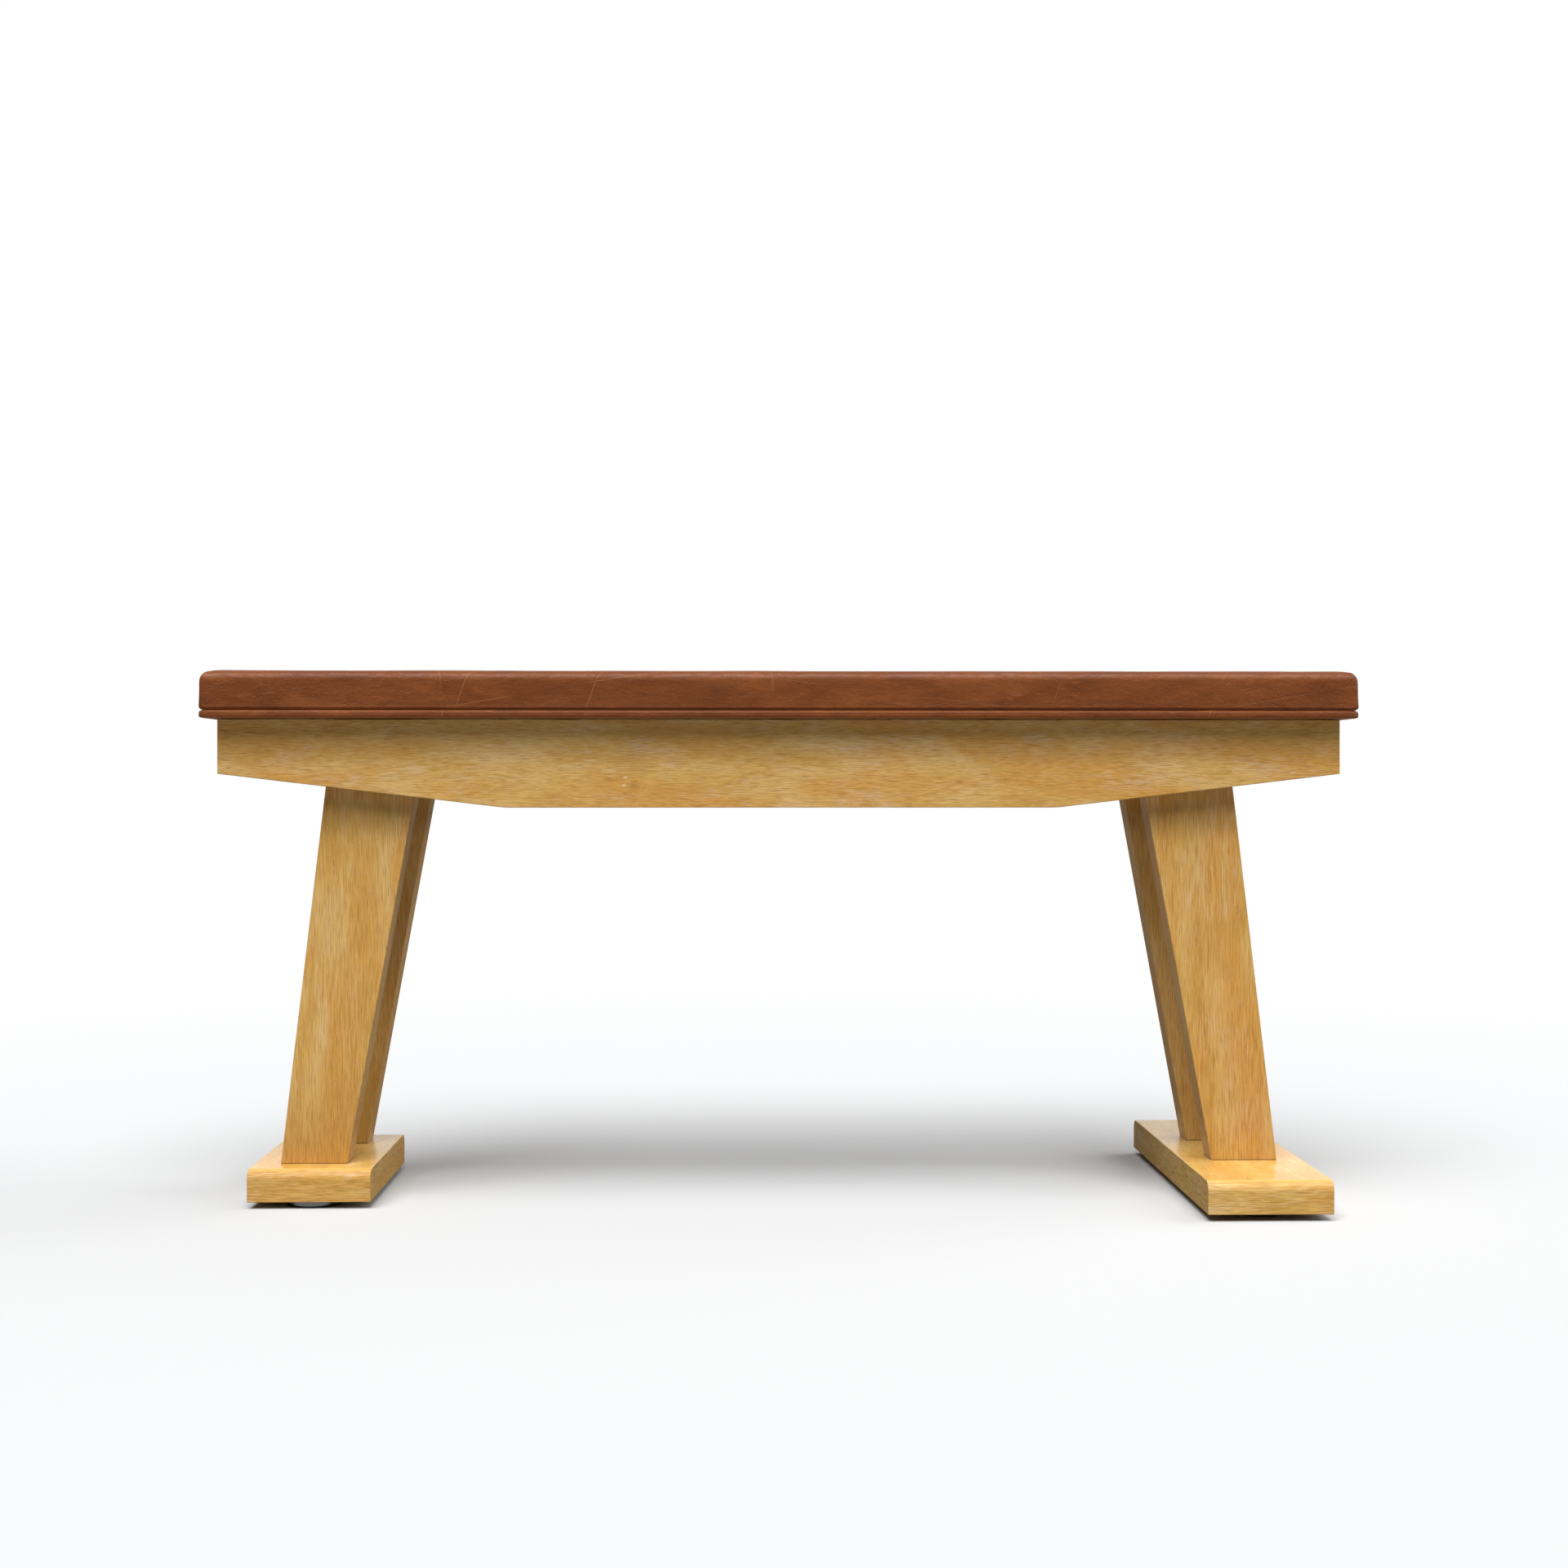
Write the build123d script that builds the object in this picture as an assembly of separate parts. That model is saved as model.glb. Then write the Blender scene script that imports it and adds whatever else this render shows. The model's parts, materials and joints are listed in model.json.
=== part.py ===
from build123d import *
import os

# A low, leather-topped exercise horse on two splayed board trestles.
# Frame: origin on the floor under the middle of the pad, +X along the horse to the right,
# +Y to the rear, +Z up. The short foot is on the left, the long foot on the right.

# ---------------------------------------------------------------- driving dimensions (mm)
PAD_LENGTH = 1600.0
PAD_WIDTH = 340.0
PAD_CORNER = 26.0  # radius of the pad's corners, seen from above
PAD_TOP_Z = 739.3
PAD_BOTTOM_Z = 684.4  # also the top of the leather-wrapped base board
PAD_TOP_ROUND = 14.0
PAD_BOTTOM_ROUND = 6.0
PAD_LEATHER = 1.6
PAD_BOARD = 12.0
PAD_BOARD_INSET = 9.0  # padding wraps round the board's edge under the leather
PAD_TURN_UNDER = 60.0  # leather turned under the pad board, from the edge inwards
SOFT_GAP = 0.1  # between the leather and what it is drawn over

BASE_BOTTOM_Z = 672.6  # also the top of the wooden frame
BASE_LEATHER = 1.4
BASE_EDGE_ROUND = 5.0
BASE_BAND_ABOVE = 30.0  # leather turned over onto the base board's top
BASE_BAND_BELOW = 34.0  # leather turned under, its edge clamped on the rails

FRAME_LENGTH = 1555.0
FRAME_WIDTH = 281.2
RAIL_THICKNESS = 32.0
RAIL_END_Z = 597.2  # underside of a side rail at its ends
RAIL_MID_Z = 550.5  # underside of a side rail along its flat middle
RAIL_FLAT = 766.0  # length of that flat middle
RAIL_CORNER_ROUND = 120.0  # softens the shallow corners where the taper starts
END_RAIL_THICKNESS = 30.0
CROSS_RAIL_THICKNESS = 36.0
CROSS_RAIL_HEIGHT = 70.0
CROSS_RAIL_X = 300.0
EDGE_EASE = 1.2  # sanded edges of all boards

LEG_THICKNESS = 48.0
LEG_BOTTOM_OUTER_X = 696.8  # where a leg's edges meet the foot
LEG_BOTTOM_INNER_X = 604.6
LEG_OUTER_LEAN = 0.1182  # inward lean of each edge, per unit of height
LEG_INNER_LEAN = 0.1823
YOKE_THICKNESS = 36.0
YOKE_BOTTOM_Z = 582.0

FOOT_BOTTOM_Z = 9.4
FOOT_TOP_Z = 54.3
FOOT_WIDTH = 169.0
FOOT_X = 649.3
SHORT_FOOT_LENGTH = 310.0
LONG_FOOT_LENGTH = 542.0
FOOT_END_ROUND = 14.0

GLIDE_RADIUS = 39.0
GLIDE_TOP_Z = 9.2
SOLE_THICKNESS = 2.4
SOLE_INSET = 1.5  # the rubber sole is this much smaller in radius than its disc
SHORT_FOOT_GLIDE_Y = 111.0
LONG_FOOT_GLIDE_Y = 199.0
SOLE_RIB_INNER = 24.0
SOLE_RIB_OUTER = 27.0
SOLE_RIB_HEIGHT = 1.5
DISC_EDGE_ROUND = 1.0
STUD_RADIUS = 5.0  # M10
STUD_FLANGE_RADIUS = 10.0
STUD_FLANGE = 1.6
STUD_TOP_Z = 37.0
GLIDE_INSERT_RADIUS = 8.0
GLIDE_INSERT_LENGTH = 28.0

FIT = 0.02  # gap around parts that are driven or glued into wood
RUN = 0.05  # running clearance of the turning glides

# ---------------------------------------------------------------- derived places
HALF_FRAME_WIDTH = FRAME_WIDTH / 2
RAIL_INNER_Y = HALF_FRAME_WIDTH - RAIL_THICKNESS
LEG_OUTER_Y = RAIL_INNER_Y
LEG_INNER_Y = LEG_OUTER_Y - LEG_THICKNESS
LEG_MID_Y = (LEG_OUTER_Y + LEG_INNER_Y) / 2
LEG_BOTTOM_MID_X = (LEG_BOTTOM_OUTER_X + LEG_BOTTOM_INNER_X) / 2
PAD_BOARD_BOTTOM_Z = PAD_BOTTOM_Z + PAD_LEATHER
PAD_BOARD_TOP_Z = PAD_BOARD_BOTTOM_Z + PAD_BOARD
BASE_BOARD_BOTTOM_Z = BASE_BOTTOM_Z + BASE_LEATHER
BASE_BOARD_TOP_Z = PAD_BOTTOM_Z - BASE_LEATHER
SIDES = (-1, 1)  # left and right, or front and rear
CORNERS = [(side, end) for side in SIDES for end in SIDES]
SIDE_NAME = {-1: "left", 1: "right"}
END_NAME = {-1: "front", 1: "rear"}
CROSS_RAILS = {"left": -CROSS_RAIL_X, "centre": 0.0, "right": CROSS_RAIL_X}
END_RAIL_X = (FRAME_LENGTH - END_RAIL_THICKNESS) / 2
GLIDE_Y = {-1: SHORT_FOOT_GLIDE_Y, 1: LONG_FOOT_GLIDE_Y}

# ---------------------------------------------------------------- fasteners
LEG_BOLT = {"radius": 4.0, "length": 70.0, "flats": 13.0, "head": 5.3}  # M8 x 70
LEG_BOLT_WASHER = {"radius": 8.5, "thickness": 1.6}
LEG_BOLT_Z = (603.0, 650.0)
LEG_BOLT_SPREAD = 38.0  # each bolt column from the middle of the leg's top
LEG_TOP_MID_X = 565.0
INSERT_RADIUS = 6.0
INSERT_LENGTH = 22.0

PAD_BOLT = {"radius": 3.0, "length": 74.0, "flats": 10.0, "head": 4.0}  # M6
PAD_BOLT_WASHER = {"radius": 7.0, "thickness": 1.6}
PAD_BOLT_Y = 70.0
PAD_BOLT_RECESS = 20.0
PAD_BOLT_RECESS_RADIUS = 9.0
TEE_NUT = {"radius": 4.0, "flange_radius": 9.5, "flange": 1.2, "depth": 10.0}

FOOT_SCREW = {"radius": 4.0, "length": 100.0, "flats": 13.0, "head": 5.3}  # 8 x 100 coach screw
FOOT_SCREW_WASHER = {"radius": 11.0, "thickness": 1.8}
FOOT_SCREW_RECESS = 8.0
FOOT_SCREW_RECESS_RADIUS = 12.0
FOOT_SCREW_SPREAD = 30.0
FOOT_DOWEL_SPREAD = 11.0

DOWEL_RADIUS = 5.0
DOWEL_LENGTH = 40.0
FOOT_DOWEL_LENGTH = 50.0
DOWEL_Z = (620.0, 652.0)

YOKE_SCREW = {"radius": 3.0, "head_radius": 5.8, "head": 3.4, "length": 98.0}
YOKE_SCREW_Z = (605.0, 648.0)
BASE_SCREW = {"radius": 2.5, "head_radius": 4.8, "head": 2.8, "length": 45.0}
BASE_SCREW_RAIL_X = (130.0, 390.0, 650.0)
BASE_SCREW_RAIL_Y = RAIL_INNER_Y + RAIL_THICKNESS / 2
BASE_SCREW_END_Y = 60.0

STAPLE_CROWN = 10.0
STAPLE_LEG = 8.0
STAPLE_WIRE = 0.7
STAPLE_PITCH = 105.0
STAPLES_HALF_LONG = 7  # staples each side of the middle, along a long edge
STAPLE_SHORT_PITCH = 70.0
PAD_STAPLE_INSET = 45.0
BASE_STAPLE_INSET = 20.0


# ---------------------------------------------------------------- shared shapes
def eased(board):
    """A board with every edge sanded to a small round."""
    return fillet(board.edges(), EDGE_EASE)


def upright_board(outline, thickness, middle_y):
    """A board whose outline lies in the X-Z plane, with its thickness along Y."""
    face = Plane.XZ * Polygon(*outline, align=None)
    return Pos(0, middle_y, 0) * extrude(face, amount=thickness / 2, both=True)


def block(length, width, low_z, high_z, middle_x=0.0):
    """A rectangular block centred on Y, between two heights."""
    middle_z = (low_z + high_z) / 2
    return Pos(middle_x, 0, middle_z) * Box(length, width, high_z - low_z)


def slab(length, width, corner, low_z, high_z):
    """A flat slab with rounded corners, between two heights."""
    plan = RectangleRounded(length, width, corner)
    return Pos(0, 0, low_z) * extrude(plan, amount=high_z - low_z)


def round_slab(inset, low_z, high_z, top_round, bottom_round):
    """The pad's plan outline shrunk by inset, with rounded upper and lower edges."""
    body = slab(PAD_LENGTH - 2 * inset, PAD_WIDTH - 2 * inset, PAD_CORNER - inset, low_z, high_z)
    body = fillet(body.faces().sort_by(Axis.Z)[-1].edges(), top_round)
    return fillet(body.faces().sort_by(Axis.Z)[0].edges(), bottom_round)


def rod(radius, low, high):
    """A round rod along Z between two heights."""
    return Pos(0, 0, (low + high) / 2) * Cylinder(radius, high - low)


def hexagon_bolt(size):
    """A hexagon-headed bolt along Z: the head's underside at 0, the shank upwards."""
    corner_radius = size["flats"] / 3**0.5
    head = Pos(0, 0, -size["head"]) * extrude(RegularPolygon(corner_radius, 6), amount=size["head"])
    return head + rod(size["radius"], 0, size["length"])


def countersunk_screw(size):
    """A countersunk screw along Z: the head's flat top at 0, the shank downwards, with a point."""
    point = 2 * size["radius"]
    outline = Polyline(
        (0, 0),
        (size["head_radius"], 0),
        (size["radius"], -size["head"]),
        (size["radius"], point - size["length"]),
        (0, -size["length"]),
        close=True,
    )
    return revolve(Plane.XZ * make_face(outline), Axis.Z)


def washer(size, bore_radius):
    """A flat washer along Z, with its lower face at 0."""
    return rod(size["radius"], 0, size["thickness"]) - rod(bore_radius, -1, size["thickness"] + 1)


def placed(shape, places):
    """Copies of one shape, one for each place."""
    return [place * shape for place in places]


def cut_all(body, tools):
    """The body with each of the tools cut out of it."""
    for tool in tools:
        body = body - tool
    return body


# ---------------------------------------------------------------- where the fasteners sit
def leg_edge_x(lean, bottom_x, z):
    """Distance of a leg's edge from the middle of the horse, at a height."""
    return bottom_x - lean * (z - FOOT_TOP_Z)


def leg_bolt_places(side, end):
    """Bolt axes of one leg, from the leg's inner face outwards through the rail."""
    turn = Rot(X=-90 * end)
    columns = [LEG_TOP_MID_X - LEG_BOLT_SPREAD, LEG_TOP_MID_X + LEG_BOLT_SPREAD]
    return [Pos(side * x, 0, z) * turn for x in columns for z in LEG_BOLT_Z]


def yoke_screw_places(side, end):
    """Screw axes from the outer face of one leg inwards into the yoke."""
    turn = Rot(X=-90 * end)
    return [Pos(side * LEG_TOP_MID_X, end * LEG_OUTER_Y, z) * turn for z in YOKE_SCREW_Z]


def foot_screw_places(side, end):
    """Screw axes from below one foot board up into a leg."""
    xs = [LEG_BOTTOM_MID_X - FOOT_SCREW_SPREAD, LEG_BOTTOM_MID_X + FOOT_SCREW_SPREAD]
    return [Pos(side * x, end * LEG_MID_Y, 0) for x in xs]


def foot_dowel_places(side, end):
    """Upright dowel centres on the joint between one foot board and a leg."""
    xs = [LEG_BOTTOM_MID_X - FOOT_DOWEL_SPREAD, LEG_BOTTOM_MID_X + FOOT_DOWEL_SPREAD]
    return [Pos(side * x, end * LEG_MID_Y, FOOT_TOP_Z) for x in xs]


def frame_dowel_places(x, end):
    """Level dowel centres on the joint between a side rail and the rail that meets it at x."""
    return [Pos(x, end * RAIL_INNER_Y, z) * Rot(X=90) for z in DOWEL_Z]


def pad_bolt_places():
    """Upright pad bolt axes, two in each cross rail."""
    return [Pos(x, end * PAD_BOLT_Y, 0) for x in CROSS_RAILS.values() for end in SIDES]


def base_screw_places():
    """Tops of the screws that hold the base board down on the side rails and end rails."""
    along = [
        Pos(side * x, end * BASE_SCREW_RAIL_Y, BASE_BOARD_TOP_Z)
        for side, end in CORNERS
        for x in BASE_SCREW_RAIL_X
    ]
    ends = [
        Pos(side * END_RAIL_X, end * BASE_SCREW_END_Y, BASE_BOARD_TOP_Z) for side, end in CORNERS
    ]
    return along + ends


def glide_place(side, end):
    """The upright axis of one glide."""
    return Pos(side * FOOT_X, end * GLIDE_Y[side], 0)


def staple_places(inset, z):
    """Staple middles all round a board, at one distance inside its edge."""
    edge_y = PAD_WIDTH / 2 - inset
    edge_x = PAD_LENGTH / 2 - inset
    steps = range(-STAPLES_HALF_LONG, STAPLES_HALF_LONG + 1)
    long_edges = [Pos(i * STAPLE_PITCH, end * edge_y, z) for i in steps for end in SIDES]
    short_edges = [
        Pos(side * edge_x, i * STAPLE_SHORT_PITCH, z) * Rot(Z=90) for side in SIDES for i in (-1, 0, 1)
    ]
    return long_edges + short_edges


# ---------------------------------------------------------------- pad
def pad_cover():
    """Leather drawn over foam and board, and turned under the board all round."""
    outside = round_slab(0, PAD_BOTTOM_Z, PAD_TOP_Z, PAD_TOP_ROUND, PAD_BOTTOM_ROUND)
    inside = round_slab(
        PAD_LEATHER,
        PAD_BOTTOM_Z + PAD_LEATHER,
        PAD_TOP_Z - PAD_LEATHER,
        PAD_TOP_ROUND - PAD_LEATHER,
        PAD_BOTTOM_ROUND - PAD_LEATHER,
    )
    opening = block(
        PAD_LENGTH - 2 * PAD_TURN_UNDER,
        PAD_WIDTH - 2 * PAD_TURN_UNDER,
        PAD_BOTTOM_Z - 1,
        PAD_BOARD_BOTTOM_Z + 1,
    )
    return outside - inside - opening


def pad_foam():
    """Dense foam on top of the pad board and round its edge, filling the leather."""
    inset = PAD_LEATHER + SOFT_GAP
    foam = round_slab(
        inset,
        PAD_BOARD_BOTTOM_Z + SOFT_GAP,
        PAD_TOP_Z - inset,
        PAD_TOP_ROUND - inset,
        PAD_BOTTOM_ROUND - inset,
    )
    return foam - pad_board_blank()


def tee_nut_recess():
    """The hole in the pad board that a tee nut fills, with its flange let in flush."""
    through = rod(TEE_NUT["radius"] + FIT, PAD_BOTTOM_Z, PAD_BOARD_TOP_Z + 1)
    flange_depth = TEE_NUT["flange"] + FIT
    flange = rod(TEE_NUT["flange_radius"] + FIT, PAD_BOARD_TOP_Z - flange_depth, PAD_BOARD_TOP_Z + 1)
    return through + flange


def pad_board_blank():
    """The pad board before it is bored."""
    return slab(
        PAD_LENGTH - 2 * PAD_BOARD_INSET,
        PAD_WIDTH - 2 * PAD_BOARD_INSET,
        PAD_CORNER - PAD_BOARD_INSET,
        PAD_BOARD_BOTTOM_Z + SOFT_GAP,
        PAD_BOARD_TOP_Z,
    )


def pad_board():
    """Plywood base of the pad, bored for the tee nuts."""
    return cut_all(pad_board_blank(), placed(tee_nut_recess(), pad_bolt_places()))


def pad_tee_nuts():
    """Tee nuts pressed into the pad board from above."""
    flange_z = PAD_BOARD_TOP_Z - TEE_NUT["flange"]
    barrel = rod(TEE_NUT["radius"], PAD_BOARD_TOP_Z - TEE_NUT["depth"], PAD_BOARD_TOP_Z)
    nut = barrel + rod(TEE_NUT["flange_radius"], flange_z, PAD_BOARD_TOP_Z)
    nut = nut - rod(PAD_BOLT["radius"] + FIT, PAD_BOTTOM_Z, PAD_BOARD_TOP_Z + 1)
    return placed(nut, pad_bolt_places())


def pad_bolt_seat_z():
    """Height of the shoulder that a pad bolt's washer bears on, inside a cross rail."""
    return BASE_BOTTOM_Z - CROSS_RAIL_HEIGHT + PAD_BOLT_RECESS


def pad_bolts():
    """Bolts from below through the cross rails and the base board into the pad."""
    bearing_z = pad_bolt_seat_z() - PAD_BOLT_WASHER["thickness"]
    return placed(Pos(0, 0, bearing_z) * hexagon_bolt(PAD_BOLT), pad_bolt_places())


def pad_bolt_washers():
    """One washer under each pad bolt's head."""
    bearing_z = pad_bolt_seat_z() - PAD_BOLT_WASHER["thickness"]
    ring = washer(PAD_BOLT_WASHER, PAD_BOLT["radius"] + FIT)
    return placed(Pos(0, 0, bearing_z) * ring, pad_bolt_places())


def staple():
    """A wire staple: the crown along X with its outer face at 0, the legs downwards."""
    crown = Pos(0, 0, -STAPLE_WIRE / 2) * Box(STAPLE_CROWN, STAPLE_WIRE, STAPLE_WIRE)
    leg = Pos(0, 0, -STAPLE_LEG / 2) * Box(STAPLE_WIRE, STAPLE_WIRE, STAPLE_LEG)
    reach = (STAPLE_CROWN - STAPLE_WIRE) / 2
    return crown + Pos(-reach, 0, 0) * leg + Pos(reach, 0, 0) * leg


def pad_staples():
    """Staples driven up through the turned-under leather into the pad board."""
    return placed(Rot(X=180) * staple(), staple_places(PAD_STAPLE_INSET, PAD_BOTTOM_Z))


# ---------------------------------------------------------------- leather-wrapped base board
def base_board():
    """Plywood board between frame and pad, bored for the pad bolts and its own screws."""
    board = round_slab(
        BASE_LEATHER + SOFT_GAP,
        BASE_BOARD_BOTTOM_Z,
        BASE_BOARD_TOP_Z,
        BASE_EDGE_ROUND - BASE_LEATHER,
        BASE_EDGE_ROUND - BASE_LEATHER,
    )
    bolt_hole = rod(PAD_BOLT["radius"] + FIT, BASE_BOTTOM_Z, PAD_BOTTOM_Z)
    board = cut_all(board, placed(bolt_hole, pad_bolt_places()))
    return cut_all(board, base_screws())


def base_cover():
    """Leather wrapped round the base board's edge and turned over onto both faces."""
    outside = round_slab(0, BASE_BOTTOM_Z, PAD_BOTTOM_Z, BASE_EDGE_ROUND, BASE_EDGE_ROUND)
    inside = round_slab(
        BASE_LEATHER,
        BASE_BOARD_BOTTOM_Z,
        BASE_BOARD_TOP_Z,
        BASE_EDGE_ROUND - BASE_LEATHER,
        BASE_EDGE_ROUND - BASE_LEATHER,
    )
    middle_z = (BASE_BOTTOM_Z + PAD_BOTTOM_Z) / 2
    opening_above = block(
        PAD_LENGTH - 2 * BASE_BAND_ABOVE, PAD_WIDTH - 2 * BASE_BAND_ABOVE, middle_z, PAD_BOTTOM_Z + 1
    )
    opening_below = block(
        PAD_LENGTH - 2 * BASE_BAND_BELOW, PAD_WIDTH - 2 * BASE_BAND_BELOW, BASE_BOTTOM_Z - 1, middle_z
    )
    return outside - inside - opening_above - opening_below


def base_screws():
    """Countersunk screws from above, through the base board into the frame."""
    return placed(countersunk_screw(BASE_SCREW), base_screw_places())


def base_staples():
    """Staples driven down through the leather into the base board, hidden by the pad."""
    return placed(staple(), staple_places(BASE_STAPLE_INSET, PAD_BOTTOM_Z))


# ---------------------------------------------------------------- wooden frame
def side_rail(end):
    """A deep rail that tapers from its flat middle up to both ends."""
    half_length = FRAME_LENGTH / 2
    half_flat = RAIL_FLAT / 2
    outline = [
        (-half_length, BASE_BOTTOM_Z),
        (half_length, BASE_BOTTOM_Z),
        (half_length, RAIL_END_Z),
        (half_flat, RAIL_MID_Z),
        (-half_flat, RAIL_MID_Z),
        (-half_length, RAIL_END_Z),
    ]
    rail = upright_board(outline, RAIL_THICKNESS, end * (RAIL_INNER_Y + RAIL_THICKNESS / 2))
    corners = rail.edges().filter_by(Axis.Y).group_by(Axis.Z)[0]
    rail = eased(fillet(corners, RAIL_CORNER_ROUND))
    dowel_hole = Cylinder(DOWEL_RADIUS + FIT, DOWEL_LENGTH + 2 * FIT)
    for x in [*CROSS_RAILS.values(), -END_RAIL_X, END_RAIL_X]:
        rail = cut_all(rail, placed(dowel_hole, frame_dowel_places(x, end)))
    insert_hole = rod(INSERT_RADIUS + FIT, 0, RAIL_INNER_Y + INSERT_LENGTH + FIT)
    for side in SIDES:
        rail = cut_all(rail, placed(insert_hole, leg_bolt_places(side, end)))
    return cut_all(rail, base_screws())


def end_rail(side):
    """The short rail that closes one end of the frame."""
    rail = eased(
        block(END_RAIL_THICKNESS, 2 * RAIL_INNER_Y, RAIL_END_Z, BASE_BOTTOM_Z, side * END_RAIL_X)
    )
    return cut_all(bored_for_dowels(rail, side * END_RAIL_X), base_screws())


def cross_rail(x):
    """A short rail across the frame, with recesses below for the pad bolts."""
    low_z = BASE_BOTTOM_Z - CROSS_RAIL_HEIGHT
    rail = eased(block(CROSS_RAIL_THICKNESS, 2 * RAIL_INNER_Y, low_z, BASE_BOTTOM_Z, x))
    recess = rod(PAD_BOLT_RECESS_RADIUS, low_z - 1, pad_bolt_seat_z())
    hole = recess + rod(PAD_BOLT["radius"] + FIT, low_z, BASE_BOTTOM_Z + 1)
    here = [Pos(x, end * PAD_BOLT_Y, 0) for end in SIDES]
    return bored_for_dowels(cut_all(rail, placed(hole, here)), x)


def bored_for_dowels(rail, x):
    """A rail with dowel holes in both of its end faces."""
    hole = Cylinder(DOWEL_RADIUS + FIT, DOWEL_LENGTH + 2 * FIT)
    for end in SIDES:
        rail = cut_all(rail, placed(hole, frame_dowel_places(x, end)))
    return rail


def dowel(length):
    """A beech dowel along Z, centred, with chamfered ends."""
    pin = Cylinder(DOWEL_RADIUS, length)
    return chamfer(pin.edges().filter_by(GeomType.CIRCLE), 1.0)


def frame_dowels():
    """Dowels that join the end rails and cross rails to the side rails."""
    xs = [*CROSS_RAILS.values(), -END_RAIL_X, END_RAIL_X]
    pin = dowel(DOWEL_LENGTH)
    return [d for x in xs for end in SIDES for d in placed(pin, frame_dowel_places(x, end))]


# ---------------------------------------------------------------- legs
def leg(side, end):
    """A board that leans outwards and tapers towards the foot, with all its fastener holes."""
    top_z = BASE_BOTTOM_Z
    outline = [
        (side * LEG_BOTTOM_INNER_X, FOOT_TOP_Z),
        (side * LEG_BOTTOM_OUTER_X, FOOT_TOP_Z),
        (side * leg_edge_x(LEG_OUTER_LEAN, LEG_BOTTOM_OUTER_X, top_z), top_z),
        (side * leg_edge_x(LEG_INNER_LEAN, LEG_BOTTOM_INNER_X, top_z), top_z),
    ]
    board = upright_board(outline, LEG_THICKNESS, end * LEG_MID_Y)
    long_edges = board.edges().filter_by(lambda edge: edge.length > LEG_BOTTOM_INNER_X / 2)
    board = fillet(long_edges, EDGE_EASE)
    bolt_hole = rod(LEG_BOLT["radius"] + FIT, 0, FRAME_WIDTH)
    board = cut_all(board, placed(bolt_hole, leg_bolt_places(side, end)))
    board = cut_all(board, placed(countersunk_screw(YOKE_SCREW), yoke_screw_places(side, end)))
    screw_top = foot_screw_bearing_z() + FOOT_SCREW["length"] + FIT
    screw_hole = rod(FOOT_SCREW["radius"] + FIT, FOOT_BOTTOM_Z, screw_top)
    board = cut_all(board, placed(screw_hole, foot_screw_places(side, end)))
    dowel_hole = Cylinder(DOWEL_RADIUS + FIT, FOOT_DOWEL_LENGTH + 2 * FIT)
    return cut_all(board, placed(dowel_hole, foot_dowel_places(side, end)))


def leg_yoke(side):
    """The upright block that ties a pair of legs together between the rails."""
    yoke = block(YOKE_THICKNESS, 2 * LEG_INNER_Y, YOKE_BOTTOM_Z, BASE_BOTTOM_Z, side * LEG_TOP_MID_X)
    yoke = eased(yoke)
    for end in SIDES:
        yoke = cut_all(yoke, placed(countersunk_screw(YOKE_SCREW), yoke_screw_places(side, end)))
    return yoke


def yoke_screws():
    """Screws through each leg into the end of its yoke, hidden by the side rails."""
    screw = countersunk_screw(YOKE_SCREW)
    return [s for side, end in CORNERS for s in placed(screw, yoke_screw_places(side, end))]


def leg_bolts():
    """Bolts through the legs, from inside the frame, into the side rails."""
    bearing_y = LEG_INNER_Y - LEG_BOLT_WASHER["thickness"]
    bolt = Pos(0, 0, bearing_y) * hexagon_bolt(LEG_BOLT)
    return [b for side, end in CORNERS for b in placed(bolt, leg_bolt_places(side, end))]


def leg_bolt_washers():
    """One washer under each leg bolt's head."""
    ring = washer(LEG_BOLT_WASHER, LEG_BOLT["radius"] + FIT)
    ring = Pos(0, 0, LEG_INNER_Y - LEG_BOLT_WASHER["thickness"]) * ring
    return [w for side, end in CORNERS for w in placed(ring, leg_bolt_places(side, end))]


def leg_bolt_inserts():
    """Threaded inserts in the side rails' inner faces, one for each leg bolt."""
    sleeve = rod(INSERT_RADIUS, RAIL_INNER_Y, RAIL_INNER_Y + INSERT_LENGTH)
    sleeve = sleeve - rod(LEG_BOLT["radius"] + FIT, 0, FRAME_WIDTH)
    return [s for side, end in CORNERS for s in placed(sleeve, leg_bolt_places(side, end))]


# ---------------------------------------------------------------- feet
def foot_screw_bearing_z():
    """Height of the underside of a foot screw's washer."""
    return FOOT_BOTTOM_Z + FOOT_SCREW_RECESS - FOOT_SCREW_WASHER["thickness"]


def foot(side, length):
    """A flat foot board with round upper ends, bored from below for screws and glides."""
    board = block(FOOT_WIDTH, length, FOOT_BOTTOM_Z, FOOT_TOP_Z, side * FOOT_X)
    upper_ends = board.edges().filter_by(Axis.X).group_by(Axis.Z)[-1]
    board = fillet(upper_ends, FOOT_END_ROUND)
    board = fillet(board.edges(), EDGE_EASE)
    seat_z = FOOT_BOTTOM_Z + FOOT_SCREW_RECESS
    screw_hole = rod(FOOT_SCREW_RECESS_RADIUS, 0, seat_z)
    screw_hole = screw_hole + rod(FOOT_SCREW["radius"] + FIT, 0, FOOT_TOP_Z + 1)
    dowel_hole = Cylinder(DOWEL_RADIUS + FIT, FOOT_DOWEL_LENGTH + 2 * FIT)
    insert_hole = rod(GLIDE_INSERT_RADIUS + FIT, 0, FOOT_BOTTOM_Z + GLIDE_INSERT_LENGTH + FIT)
    for end in SIDES:
        board = cut_all(board, placed(screw_hole, foot_screw_places(side, end)))
        board = cut_all(board, placed(dowel_hole, foot_dowel_places(side, end)))
        board = board - glide_place(side, end) * insert_hole
    return board


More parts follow.
